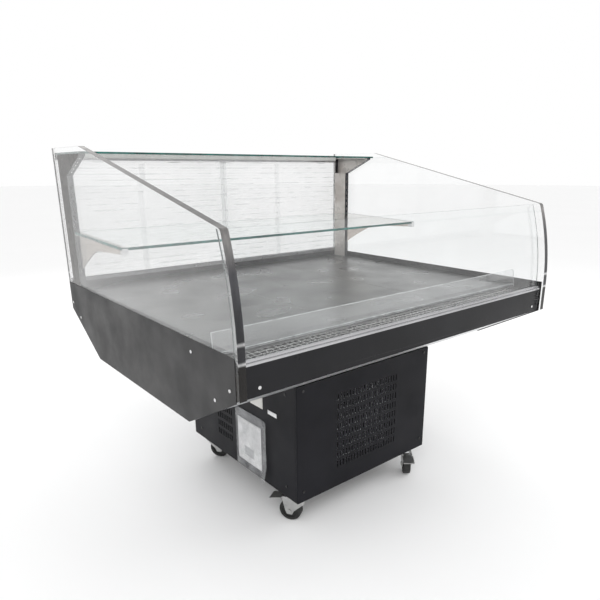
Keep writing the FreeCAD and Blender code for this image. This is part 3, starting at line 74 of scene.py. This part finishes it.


# ---------------------------------------------------------------- node helpers

class Shader:
    """A material under construction: a node tree with one Principled shader."""

    def __init__(self, name):
        self.material = bpy.data.materials.new(name)
        self.material.use_nodes = True
        self.tree = self.material.node_tree
        self.tree.nodes.clear()
        self.out = self.node("OutputMaterial")
        self.main = self.node("BsdfPrincipled")
        self.link(self.main.outputs[0], self.out.inputs[0])
        self.coords = self.node("TexCoord")

    def node(self, kind):
        return self.tree.nodes.new("ShaderNode" + kind)

    def link(self, source, target):
        self.tree.links.new(source, target)

    def set(self, **values):
        """Fixed values for the Principled shader's inputs, spaces as underscores."""
        for name, value in values.items():
            self.main.inputs[name.replace("_", " ")].default_value = value

    def drive(self, name, source):
        self.link(source, self.main.inputs[name])

    def place(self, stretch):
        """Object coordinates, scaled along each axis."""
        mapping = self.node("Mapping")
        mapping.inputs["Scale"].default_value = stretch
        self.link(self.coords.outputs["Object"], mapping.inputs["Vector"])
        return mapping.outputs["Vector"]

    def noise(self, scale, stretch=(1, 1, 1), detail=3.0):
        """Soft patches, about scale of them to a metre."""
        texture = self.node("TexNoise")
        texture.inputs["Scale"].default_value = scale
        texture.inputs["Detail"].default_value = detail
        texture.inputs["Roughness"].default_value = 0.55
        self.link(self.place(stretch), texture.inputs["Vector"])
        return texture.outputs["Fac"]

    def cells(self, scale):
        """Flat-toned cells, about scale of them to a metre."""
        texture = self.node("TexVoronoi")
        texture.inputs["Scale"].default_value = scale
        self.link(self.place((1, 1, 1)), texture.inputs["Vector"])
        split = self.node("SeparateColor")
        self.link(texture.outputs["Color"], split.inputs[0])
        return split.outputs[0]

    def span(self, source, low, high, start=0.3, end=0.7):
        """The source, rescaled from start..end to low..high."""
        node = self.node("MapRange")
        self.link(source, node.inputs["Value"])
        node.inputs["From Min"].default_value = start
        node.inputs["From Max"].default_value = end
        node.inputs["To Min"].default_value = low
        node.inputs["To Max"].default_value = high
        return node.outputs["Result"]

    def mix(self, fac, a, b):
        """Colour a where fac is 0 and b where it is 1; either may be a socket."""
        node = self.node("Mix")
        node.data_type = "RGBA"
        self.link(fac, node.inputs[0])
        for socket, value in ((node.inputs[6], a), (node.inputs[7], b)):
            if isinstance(value, tuple):
                socket.default_value = (*value, 1.0)
            else:
                self.link(value, socket)
        return node.outputs[2]

    def ramp(self, fac, stops):
        """Colour and cover along fac, from stops of (place, colour, cover)."""
        node = self.node("ValToRGB")
        self.link(fac, node.inputs[0])
        band = node.color_ramp
        for place, _, _ in stops[2:]:
            band.elements.new(place)
        for element, (place, colour, cover) in zip(band.elements, stops):
            element.position = place
            element.color = (*colour, cover)
        return node.outputs["Color"], node.outputs["Alpha"]

    def math(self, operation, a, b=0.0):
        node = self.node("Math")
        node.operation = operation
        for socket, value in zip(node.inputs, (a, b)):
            if isinstance(value, (int, float)):
                socket.default_value = value
            else:
                self.link(value, socket)
        return node.outputs[0]

    def tinted(self, colour, amount):
        """The colour, brighter or darker by the amount."""
        node = self.node("VectorMath")
        node.operation = "SCALE"
        self.link(colour, node.inputs[0])
        self.link(amount, node.inputs["Scale"])
        return node.outputs["Vector"]

    def bump(self, height, strength, distance):
        node = self.node("Bump")
        node.inputs["Strength"].default_value = strength
        node.inputs["Distance"].default_value = distance
        self.link(height, node.inputs["Height"])
        self.drive("Normal", node.outputs["Normal"])

    def facing(self, axis):
        """1 where the surface faces along the axis, either way, and 0 across it."""
        split = self.node("SeparateXYZ")
        self.link(self.coords.outputs["Normal"], split.inputs[0])
        turned = self.math("ABSOLUTE", split.outputs[axis])
        return self.span(turned, 0.0, 1.0, start=0.45, end=0.55)

    def height_at(self, axis, low, high):
        """0 at low and 1 at high, in metres along the axis."""
        split = self.node("SeparateXYZ")
        self.link(self.coords.outputs["Object"], split.inputs[0])
        return self.span(split.outputs[axis], 0.0, 1.0, start=low, end=high)

    def stripes(self, axis, pitch, share):
        """1 on fine lines across the axis that take this share of the pitch."""
        split = self.node("SeparateXYZ")
        self.link(self.coords.outputs["Object"], split.inputs[0])
        turn = self.math("FRACT", self.math("MULTIPLY", split.outputs[axis], 1.0 / pitch))
        return self.math("LESS_THAN", turn, share)

    def blend_shaders(self, fac, a, b):
        """Shader a where fac is 0 and b where it is 1."""
        node = self.node("MixShader")
        self.link(fac, node.inputs[0])
        self.link(a, node.inputs[1])
        self.link(b, node.inputs[2])
        return node.outputs[0]

    def finish_with(self, shader):
        self.link(shader, self.out.inputs[0])


def worn_edges(shader, width):
    """1 near sharp edges, where paint or polish has rubbed, and 0 on flat faces."""
    rounded = shader.node("Bevel")
    rounded.samples = BEVEL_SAMPLES
    rounded.inputs["Radius"].default_value = width
    plain = shader.node("NewGeometry")
    dot = shader.node("VectorMath")
    dot.operation = "DOT_PRODUCT"
    shader.link(rounded.outputs[0], dot.inputs[0])
    shader.link(plain.outputs["Normal"], dot.inputs[1])
    return shader.span(dot.outputs["Value"], 1.0, 0.0, start=WORN_COSINE, end=SOUND_COSINE)


# ------------------------------------------------------------------- materials

def paint(name, dark, light, rough=(0.34, 0.5), shine=0.3):
    """Satin powder coat: fine orange peel, handling smudges and rubbed edges."""
    s = Shader(name)
    smudges, scuffs = s.noise(5.0, detail=5.0), s.noise(60.0)
    sheen, peel = s.noise(9.0, detail=6.0), s.noise(900.0, detail=1.0)
    body = s.mix(s.span(smudges, 0.0, 1.0, start=0.35, end=0.7), dark, light)
    rub = s.math("MULTIPLY", worn_edges(s, WEAR_WIDTH), s.span(scuffs, 0.2, 0.9))
    s.drive("Base Color", s.mix(rub, body, RUBBED))
    s.drive("Roughness", s.span(sheen, *rough))
    s.set(Specular_IOR_Level=shine)
    s.bump(peel, strength=0.12, distance=ORANGE_PEEL)
    return s.material


def metal(name, dark, light, rough, grain=(1, 1, 1), bump=0.1, patch_scale=3.0):
    """Sheet or profile metal: brushed grain along one axis over soft patches."""
    s = Shader(name)
    patches, fine = s.noise(patch_scale, detail=2.0), s.noise(400.0, grain, detail=2.0)
    sheen = s.noise(patch_scale * 2.3, detail=1.0)
    tone = s.math("ADD", s.math("MULTIPLY", patches, 0.7), s.math("MULTIPLY", fine, 0.3))
    s.drive("Base Color", s.mix(s.span(tone, 0.0, 1.0, start=0.25, end=0.75), dark, light))
    s.drive("Roughness", s.span(sheen, *rough, start=0.2, end=0.8))
    s.set(Metallic=1.0)
    s.bump(fine, strength=bump, distance=FINE_GRAIN)
    return s.material


def spangled(name, dark, light, rough):
    """Galvanised sheet with its crystal pattern."""
    s = Shader(name)
    crystals, grain = s.cells(120.0), s.noise(220.0)
    s.drive("Base Color", s.mix(crystals, dark, light))
    s.drive("Roughness", s.span(crystals, *rough, start=0.0, end=1.0))
    s.set(Metallic=1.0)
    s.bump(grain, strength=0.1, distance=FINE_GRAIN)
    return s.material


def post_steel(name, dark, light, front):
    """Slotted posts of one steel, painted two ways: painted light at the sides and painted shade
    on the slotted front.
    """
    s = Shader(name)
    side = s.facing(X_AXIS)
    patches, sheen = s.noise(9.0, (1, 0.4, 1), detail=5.0), s.noise(12.0)
    grain = s.noise(400.0, ALONG_Z, detail=2.0)
    lit_sides = s.mix(s.span(patches, 0.0, 1.0, start=0.38, end=0.62), dark, light)
    # Painted light and shade: sides facing along X get the light colours, the slotted front the
    # dark front colour.
    s.drive("Base Color", s.mix(side, front, lit_sides))
    s.drive("Metallic", s.span(side, 0.6, 0.15, start=0.0, end=1.0))
    s.drive("Roughness", s.span(sheen, 0.22, 0.36))
    s.bump(grain, strength=0.1, distance=FINE_GRAIN)
    return s.material


def moulded(name, dark, light, rough=(0.4, 0.55), bump=0.2):
    """Moulded plastic or rubber with a fine texture."""
    s = Shader(name)
    mottle, sheen, texture = s.noise(25.0, detail=5.0), s.noise(40.0), s.noise(1200.0, detail=1.0)
    s.drive("Base Color", s.mix(s.span(mottle, 0.0, 1.0), dark, light))
    s.drive("Roughness", s.span(sheen, *rough))
    s.bump(texture, strength=bump, distance=FINE_GRAIN)
    return s.material


def foam(name, dark, light):
    """Rigid foam with open cells."""
    s = Shader(name)
    mottle, sheen, pores = s.noise(14.0, detail=4.0), s.noise(50.0), s.cells(300.0)
    s.drive("Base Color", s.mix(mottle, dark, light))
    s.drive("Roughness", s.span(sheen, 0.8, 0.95))
    s.bump(pores, strength=0.5, distance=FOAM_CELLS)
    return s.material


def film_of(s, colour, rough, shine=0.5):
    """A plain second shader, for dust or a sawn edge."""
    film = s.node("BsdfPrincipled")
    if isinstance(colour, tuple):
        film.inputs["Base Color"].default_value = (*colour, 1.0)
    else:
        s.link(colour, film.inputs["Base Color"])
    film.inputs["Roughness"].default_value = rough
    film.inputs["Specular IOR Level"].default_value = shine
    return film.outputs[0]


def clear(name, axis, tint, edge_stops, edge_range=None, ior=1.5, haze=(0.0, 0.03)):
    """A clear sheet facing along the axis. Its cut edges show set colours, over
    the range of heights or at random; set by height they are painted reflections and glints.
    Smudges leave a faint film, and lamps shine through."""
    s = Shader(name)
    s.set(Base_Color=(*tint, 1.0), Roughness=0.0, IOR=ior, Transmission_Weight=1.0)
    face = s.facing(axis)
    smudge = s.span(s.noise(4.0, detail=6.0), *haze, start=0.4, end=0.75)
    film = film_of(s, DUST, rough=0.4)
    dusty = s.blend_shaders(smudge, s.main.outputs[0], film)
    along = s.height_at(Z_AXIS, *edge_range) if edge_range else s.noise(9.0, detail=4.0)
    colour, cover = s.ramp(along, edge_stops)
    streaks = s.span(s.noise(60.0, ALONG_Z, detail=4.0), 0.55, 1.5)
    cut = film_of(s, s.tinted(colour, streaks), rough=0.15, shine=0.25)
    edge = s.blend_shaders(cover, s.main.outputs[0], cut)
    sheet = s.blend_shaders(face, edge, dusty)
    lamp_rays = s.node("LightPath").outputs["Is Shadow Ray"]
    passing = s.node("BsdfTransparent")
    s.finish_with(s.blend_shaders(lamp_rays, sheet, passing.outputs[0]))
    return s.material


def twin_wall(name, axis, haze, rib, colour):
    """Milky ribbed sheet: thin walls that let most light by, denser ribs, and painted highlight
    lines.
    """
    s = Shader(name)
    tone = s.span(s.noise(3.0, detail=4.0), 0.6, 1.4)
    cover = s.math("MULTIPLY", s.span(s.facing(axis), rib, haze, start=0.0, end=1.0), tone)
    # Painted highlights: fine bright lines, stronger in random patches, added to the sheet's
    # white cover.
    lines = s.stripes(Z_AXIS, PAINTED_GLINT_PITCH, PAINTED_GLINT_SHARE)
    painted_glint_patches = s.span(s.noise(14.0, (1, 1, 7)), 0.0, 0.3, start=0.48, end=0.62)
    painted_glints = s.math("MULTIPLY", lines, painted_glint_patches)
    cover = s.math("ADD", cover, painted_glints)
    s.set(Roughness=0.18)
    s.drive("Base Color", s.mix(s.noise(6.0), colour, (0.95, 0.96, 0.96)))
    passing = s.node("BsdfTransparent")
    s.finish_with(s.blend_shaders(cover, passing.outputs[0], s.main.outputs[0]))
    return s.material


def paper(name, dark, light):
    """Plain paper, blank."""
    s = Shader(name)
    mottle, sheen, fibres = s.noise(30.0, detail=5.0), s.noise(70.0), s.noise(700.0)
    s.drive("Base Color", s.mix(s.span(mottle, 0.0, 1.0), dark, light))
    s.drive("Roughness", s.span(sheen, 0.55, 0.7))
    s.bump(fibres, strength=0.15, distance=FINE_GRAIN)
    return s.material


def soft_film(name, cover):
    """Crumpled clear plastic film."""
    s = Shader(name)
    haze, folds, clouds = s.noise(12.0), s.noise(38.0), s.noise(22.0, detail=4.0)
    s.set(Roughness=0.12, Specular_IOR_Level=0.7)
    s.drive("Base Color", s.mix(haze, (0.50, 0.51, 0.53), (0.72, 0.73, 0.74)))
    s.bump(folds, strength=0.6, distance=CRUMPLES)
    amount = s.span(clouds, *cover, start=0.35, end=0.7)
    passing = s.node("BsdfTransparent")
    s.finish_with(s.blend_shaders(amount, passing.outputs[0], s.main.outputs[0]))
    return s.material


PAINTED = paint("satin_black", (0.010, 0.010, 0.011), (0.020, 0.020, 0.022))
COVER = paint("cover_charcoal", (0.022, 0.022, 0.023), (0.042, 0.041, 0.041), (0.38, 0.58))
FASCIA = paint("fascia_black", (0.005, 0.005, 0.006), (0.010, 0.010, 0.012), (0.25, 0.4),
               shine=0.2)
CABINET = paint("cabinet_black", (0.003, 0.003, 0.005), (0.008, 0.008, 0.011), (0.4, 0.55),
                shine=0.16)
DECK = metal("deck_stainless", (0.11, 0.11, 0.11), (0.23, 0.23, 0.23), (0.22, 0.44), ALONG_X)
# Painted shade: the liner is far darker than bare stainless, so the cavity under the grille reads
# dark.
LINER = metal("liner_stainless", (0.05, 0.05, 0.055), (0.11, 0.11, 0.115), (0.28, 0.4), ALONG_X)
GRILLE = metal("grille_stainless", (0.26, 0.26, 0.26), (0.40, 0.39, 0.38), (0.22, 0.32), ALONG_X)
# Posts: light sides and a dark front, painted light and painted shade on one steel.
POSTS = post_steel("post_stainless", (0.50, 0.46, 0.43), (0.80, 0.77, 0.74), (0.05, 0.05, 0.055))
PROFILE = metal("profile_aluminium", (0.36, 0.36, 0.37), (0.52, 0.52, 0.53), (0.2, 0.32), ALONG_X)
GALVANISED = spangled("galvanised_sheet", (0.52, 0.53, 0.54), (0.74, 0.75, 0.76), (0.3, 0.45))
ZINC = metal("zinc_plate", (0.36, 0.36, 0.36), (0.60, 0.60, 0.59), (0.3, 0.45), bump=0.06,
             patch_scale=30.0)
CHROME = metal("clip_chrome", (0.62, 0.62, 0.63), (0.78, 0.78, 0.78), (0.08, 0.18), bump=0.04)
ARMS = metal("arm_steel", (0.50, 0.45, 0.41), (0.66, 0.60, 0.55), (0.12, 0.26), ALONG_Y)
SCREWS = metal("screw_bright", (0.55, 0.55, 0.55), (0.75, 0.75, 0.75), (0.2, 0.3), bump=0.05,
               patch_scale=60.0)
DARK_SCREWS = metal("screw_dark", (0.03, 0.03, 0.03), (0.08, 0.08, 0.08), (0.3, 0.42), bump=0.05,
                    patch_scale=60.0)
FINS = metal("coil_aluminium", (0.66, 0.67, 0.68), (0.93, 0.93, 0.94), (0.22, 0.4), ALONG_Z)
COPPER = metal("copper_tube", (0.52, 0.26, 0.16), (0.74, 0.40, 0.27), (0.25, 0.45), bump=0.05,
               patch_scale=20.0)
MOTOR = metal("motor_steel", (0.30, 0.30, 0.31), (0.46, 0.46, 0.47), (0.35, 0.5), bump=0.05)
COMPRESSOR = paint("compressor_black", (0.012, 0.012, 0.012), (0.03, 0.03, 0.03), (0.3, 0.45))
PLASTIC = moulded("dark_plastic", (0.022, 0.022, 0.024), (0.042, 0.042, 0.045))
FAN = moulded("fan_plastic", (0.03, 0.03, 0.032), (0.06, 0.06, 0.064))
RUBBER = moulded("wheel_rubber", (0.006, 0.006, 0.006), (0.016, 0.016, 0.015), (0.5, 0.7))
LAMP = moulded("lamp_diffuser", (0.80, 0.80, 0.78), (0.90, 0.90, 0.88), (0.35, 0.45), bump=0.05)
FOAM = foam("insulation_foam", (0.05, 0.04, 0.03), (0.11, 0.09, 0.07))

# The end panels' cut edges, as painted reflections and painted glints by the share of the panel's
# height.
EDGE_BLACK = (0.013, 0.011, 0.010)
EDGE_DARK = (0.035, 0.035, 0.040)
EDGE_REFLECTED_GREY = (0.06, 0.06, 0.066)
EDGE_PAINTED_GLINT = (0.7, 0.7, 0.7)
EDGE_BROW = (0.26, 0.25, 0.245)
EDGE_SLOPE = (0.07, 0.068, 0.066)
EDGE_CREST = (0.16, 0.15, 0.145)
EDGE_TOP = (0.30, 0.285, 0.275)
NOSE_SHARE, CREST_SHARE = 0.60, 0.96        # where the nose ends and the crest begins
GLINT_FADE, BROW_FADE = 0.008, 0.02         # how far a glint or the brow fades, each way
panel_low, panel_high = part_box("end_panel_left")
panel_height = panel_high.z - panel_low.z


def up_panel(z):
    """The share of the end panel's height at z metres above the floor."""
    return (z - panel_low.z) / panel_height


sill_line = up_panel(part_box("front_sill")[1].z)
riser_line = up_panel(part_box("air_riser")[1].z)
brow_line = up_panel(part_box("front_glass")[1].z)
# Painted reflections: black below the sill, dark up to the nose, lighter bands at the brow, crest
# and top, with painted glints at the sill and riser tops.
PANEL_EDGE_REFLECTIONS = (
    (0.0, EDGE_BLACK, 0.9), (sill_line - GLINT_FADE, EDGE_BLACK, 0.9),
    (sill_line, EDGE_PAINTED_GLINT, 0.9), (sill_line + GLINT_FADE, EDGE_DARK, 0.8),
    (riser_line - GLINT_FADE, EDGE_DARK, 0.8), (riser_line, EDGE_PAINTED_GLINT, 0.9),
    (riser_line + GLINT_FADE, EDGE_DARK, 0.8), (NOSE_SHARE, EDGE_REFLECTED_GREY, 0.8),
    (brow_line - BROW_FADE, EDGE_BROW, 0.7), (brow_line + BROW_FADE, EDGE_SLOPE, 0.85),
    (CREST_SHARE, EDGE_CREST, 0.85), (1.0, EDGE_TOP, 0.9))
ACRYLIC_IOR = 1.49
ACRYLIC = clear("end_acrylic", X_AXIS, (0.985, 0.99, 0.99), PANEL_EDGE_REFLECTIONS,
                (panel_low.z, panel_high.z), ACRYLIC_IOR)
RISER = clear("riser_acrylic", Y_AXIS, (0.98, 0.985, 0.99),
              ((0.3, (0.75, 0.78, 0.8), 0.6), (0.7, (0.92, 0.94, 0.95), 0.8)),
              ior=ACRYLIC_IOR, haze=(0.05, 0.22))
FRONT = clear("front_pane", Y_AXIS, (0.965, 0.975, 0.975),
              ((0.3, (0.05, 0.08, 0.08), 0.6), (0.7, (0.22, 0.27, 0.27), 0.6)))
SHELF = clear("shelf_pane", Z_AXIS, (0.955, 0.985, 0.975),
              ((0.3, (0.004, 0.05, 0.045), 0.9), (0.7, (0.04, 0.24, 0.21), 0.85)))
ROOF = clear("roof_pane", Z_AXIS, (0.955, 0.985, 0.975),
             ((0.3, (0.004, 0.04, 0.034), 0.9), (0.7, (0.03, 0.18, 0.155), 0.85)))
DOOR = twin_wall("twin_wall_sheet", Y_AXIS, haze=0.10, rib=0.35, colour=(0.86, 0.87, 0.88))
PAPER = paper("sheet_paper", (0.76, 0.76, 0.76), (0.88, 0.88, 0.88))
LABEL = paper("label_paper", (0.62, 0.61, 0.58), (0.74, 0.73, 0.70))
PRINT = paper("sheet_print", (0.42, 0.43, 0.44), (0.58, 0.58, 0.59))
FILM = soft_film("pouch_film", (0.10, 0.34))

CORNERS = ("front_left", "front_right", "rear_left", "rear_right")
FINISHES = {
    ACRYLIC: ("end_panel_left", "end_panel_right"),
    RISER: ("air_riser",),
    FRONT: ("front_glass",),
    ROOF: ("roof_glass",),
    SHELF: ("shelf_glass",),
    COVER: ("side_cover_left", "side_cover_right"),
    FASCIA: ("front_fascia",),
    PAINTED: ("rear_ledge", "pedestal_frame"),
    CABINET: ("pedestal_front_panel", "pedestal_side_left", "pedestal_side_right",
              "pedestal_rear_panel"),
    SCREWS: ("cover_screws",),
    DARK_SCREWS: ("pedestal_screws",),
    PROFILE: ("front_sill", "door_tracks"),
    GALVANISED: ("tub_underside", "evaporator_fan_plate", "fan_shroud"),
    FOAM: ("tub_insulation",),
    LINER: ("tub_liner",),
    DECK: ("deck_pan_left", "deck_pan_centre", "deck_pan_right"),
    GRILLE: ("return_grille",),
    POSTS: ("rear_uprights", "top_brackets"),
    DOOR: ("rear_door_left", "rear_door_right"),
    LAMP: ("led_lamp",),
    ARMS: ("shelf_arms",),
    CHROME: ("shelf_clips",),
    ZINC: ("caster_plates", "brake_pedal_front_left", "brake_pedal_front_right",
           *("caster_fork_" + c for c in CORNERS)),
    RUBBER: tuple("caster_wheel_" + c for c in CORNERS),
    FINS: ("evaporator_coil", "condenser_coil"),
    FAN: ("evaporator_fan_left", "evaporator_fan_right", "condenser_fan"),
    MOTOR: ("fan_motors",),
    PLASTIC: ("drain_pipe", "drip_tray", "controller", "power_inlet", "power_switch"),
    COMPRESSOR: ("compressor",),
    COPPER: ("refrigerant_pipes",),
}
for material, names in FINISHES.items():
    for name in names:
        for material_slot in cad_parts[name].material_slots:
            material_slot.material = material


# ---------------------------------------------------------------- added pieces

def add_mesh(name, points, faces, material, body):
    """A smooth-shaded piece that rides on the body."""
    mesh = bpy.data.meshes.new(name)
    mesh.from_pydata(points, [], faces)
    bm = bmesh.new()
    bm.from_mesh(mesh)
    bmesh.ops.recalc_face_normals(bm, faces=bm.faces)
    bm.to_mesh(mesh)
    bm.free()
    mesh.materials.append(material)
    mesh.polygons.foreach_set("use_smooth", [True] * len(mesh.polygons))
    piece = bpy.data.objects.new(name, mesh)
    bpy.context.scene.collection.objects.link(piece)
    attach(piece, body)
    return piece


def sheet(name, rows, columns, place, thickness, material, slot):
    """A closed thin sheet on the outside of the left cabinet side. place(u, v) gives the
    outer face's point for u, v in 0..1; the inner face lies towards +X."""
    points, faces = [], []
    for back in (0.0, thickness):
        for i in range(rows + 1):
            for j in range(columns + 1):
                x, y, z = place(j / columns, i / rows)
                points.append((x + back, y, z))
    width, layer = columns + 1, (rows + 1) * (columns + 1)
    for i in range(rows):
        for j in range(columns):
            a, b = i * width + j, i * width + j + 1
            c, d = b + width, a + width
            faces += [(a, b, c, d), (a + layer, d + layer, c + layer, b + layer)]
    rim = list(range(width))
    rim += [i * width + columns for i in range(1, rows + 1)]
    rim += [rows * width + j for j in range(columns - 1, -1, -1)]
    rim += [i * width for i in range(rows - 1, 0, -1)]
    for a, b in zip(rim, rim[1:] + rim[:1]):
        faces.append((a, b, b + layer, a + layer))
    return add_mesh(name, points, faces, material, "case")


pouch_low, pouch_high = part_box("document_pouch")
pouch_width = pouch_high.y - pouch_low.y
pouch_height = pouch_high.z - pouch_low.z
CLEAR_OF_WALL = 0.3 * MM
FILM_OUT, FILM_BULGE, FILM_RIPPLE = 3.2, 3.0, 0.7       # millimetres out from the wall
CURL_SHARE, CURL_RISE = 0.18, 7.0                       # the film's front rim, come unstuck
DOG_EAR_SHARE, DOG_EAR_RISE = 0.30, 14.0                # its lower front corner
PAPER_OUT, PAPER_BULGE = 1.2, 2.2
BULGE_POWER, FOOT_FULLNESS = 0.6, 0.15
PAPER_LOW, PAPER_SPAN = (0.20, 0.12), (0.74, 0.72)      # of the pouch's width and height
PRINT_LOW, PRINT_HIGH = (0.30, 0.16), (0.72, 0.38)      # of the paper's
FILM_THICKNESS, PAPER_THICKNESS, PRINT_THICKNESS = 0.25 * MM, 0.4 * MM, 0.2 * MM


def pouch_point(u, v, out):
    """A point u of the way back and v of the way up the pouch, out from its wall."""
    return (pouch_high.x - out, pouch_low.y + u * pouch_width, pouch_low.z + v * pouch_height)


def bulge(u, v):
    """How full the pouch is: flat at its glued sides and top, and full in the middle."""
    upward = min(1.0, FOOT_FULLNESS + v * (1.0 - FOOT_FULLNESS))
    return math.sin(math.pi * u) ** BULGE_POWER * math.sin(math.pi * upward) ** BULGE_POWER


def pouch_film(u, v):
    """The film: full over the papers, rippled, and loose along its front rim."""
    curl = max(0.0, 1.0 - u / CURL_SHARE) ** 2
    dog_ear = max(0.0, 1.0 - (u + v) / DOG_EAR_SHARE) ** 1.5
    ripple = FILM_RIPPLE * math.sin(9 * u + 4 * v) * math.sin(7 * v - 2 * u)
    full = bulge(u, v)
    out = FILM_OUT + FILM_BULGE * full + ripple * full + CURL_RISE * curl + DOG_EAR_RISE * dog_ear
    return pouch_point(u, v, out * MM)


def pouch_sheet(u, v):
    """The papers inside, short of the film's curled edge and its welded rim."""
    u, v = PAPER_LOW[0] + PAPER_SPAN[0] * u, PAPER_LOW[1] + PAPER_SPAN[1] * v
    return pouch_point(u, v, (PAPER_OUT + PAPER_BULGE * bulge(u, v)) * MM)


def print_block(u, v):
    """A blank grey block where the paper has print, just clear of it."""
    x, y, z = pouch_sheet(PRINT_LOW[0] + u * (PRINT_HIGH[0] - PRINT_LOW[0]),
                          PRINT_LOW[1] + v * (PRINT_HIGH[1] - PRINT_LOW[1]))
    return (x - CLEAR_OF_WALL, y, z)


film = sheet("pouch_film", 40, 36, pouch_film, FILM_THICKNESS, FILM, "pouch")
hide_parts("document_pouch")
sheet("pouch_paper", 24, 20, pouch_sheet, PAPER_THICKNESS, PAPER, "pouch")
sheet("pouch_print", 6, 8, print_block, PRINT_THICKNESS, PRINT, "pouch")

side_low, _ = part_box("pedestal_side_left")
LABEL_THICKNESS = 0.25 * MM
LABELS = {      # rows and columns, material, and the edges in metres: front, back, bottom, top
    "blank_label_small": (3, 6, PAPER, -0.219, -0.171, 0.360, 0.374),
    "blank_label_large": (6, 8, LABEL, -0.143, -0.070, 0.365, 0.416),
}


def label_maker(front, back, bottom, top):
    """Points of a flat label stuck on the left cabinet side, distances in metres."""
    def place(u, v):
        return (side_low.x - CLEAR_OF_WALL, front + u * (back - front),
                bottom + v * (top - bottom))
    return place


for name, (rows, columns, material, *edges) in LABELS.items():
    sheet(name, rows, columns, label_maker(*edges), LABEL_THICKNESS, material, "pouch")

# ------------------------------------------------------------ stage and lights

FLOOR_RADIUS = 40.0
FLOOR_SIDES = 96


def add_floor():
    """A wide pale floor under the case."""
    mesh = bpy.data.meshes.new("floor")
    bm = bmesh.new()
    bmesh.ops.create_circle(bm, cap_ends=True, segments=FLOOR_SIDES, radius=FLOOR_RADIUS)
    bm.to_mesh(mesh)
    bm.free()
    floor = bpy.data.objects.new("floor", mesh)
    bpy.context.scene.collection.objects.link(floor)
    s = Shader("floor_pale")
    s.drive("Base Color", s.mix(s.noise(0.8), (0.93, 0.93, 0.93), (0.955, 0.955, 0.955)))
    s.set(Roughness=0.9, Specular_IOR_Level=0.1)
    mesh.materials.append(s.material)


def add_lamp(name, place, target, size, power):
    """A soft disc of light. It isn't seen itself, nor in the glass, whose cut edges it
    would whiten."""
    light = bpy.data.lights.new(name, "AREA")
    light.shape = "DISK"
    light.size = size
    light.energy = power
    lamp = bpy.data.objects.new(name, light)
    bpy.context.scene.collection.objects.link(lamp)
    lamp.location = place
    lamp.rotation_euler = (target - Vector(place)).to_track_quat("-Z", "Y").to_euler()
    lamp.visible_camera = lamp.visible_glossy = lamp.visible_transmission = False


LAMPS = {       # place and width in metres, power in watts
    "key": ((-2.6, -2.8, 3.2), 2.4, 45.0),
    "fill": ((3.4, -1.8, 2.4), 2.6, 25.0),
    "back": ((0.6, 3.4, 3.0), 2.6, 30.0),
}
add_floor()
centre = (cad_box[0] + cad_box[1]) / 2
for name, (place, size, power) in LAMPS.items():
    add_lamp(name, place, centre, size, power)

world = bpy.data.worlds.new("studio")
world.use_nodes = True
background = world.node_tree.nodes["Background"]
background.inputs["Color"].default_value = (1.0, 1.0, 1.0, 1.0)
background.inputs["Strength"].default_value = 1.0
scene = bpy.context.scene
scene.world = world
scene.view_settings.view_transform = "Standard"
scene.cycles.max_bounces = 24               # the view goes through many panes in a row
scene.cycles.transmission_bounces = 20
scene.cycles.transparent_max_bounces = 32

# ---------------------------------------------------------------------- camera

CAMERA_PLACE = (-1.226, -1.506, 1.114)
CAMERA_LOOK = (0.619, 0.728, -0.295)        # direction
SENSOR_WIDTH, LENS = 36.0, 32.93            # millimetres
SHIFT = (-0.0308, 0.0627)                   # shares of the frame's width

camera_data = bpy.data.cameras.new("camera")
camera_data.sensor_width = SENSOR_WIDTH
camera_data.lens = LENS
camera_data.shift_x, camera_data.shift_y = SHIFT
camera = bpy.data.objects.new("camera", camera_data)
scene.collection.objects.link(camera)
camera.location = CAMERA_PLACE
camera.rotation_euler = Vector(CAMERA_LOOK).to_track_quat("-Z", "Y").to_euler()
scene.camera = camera
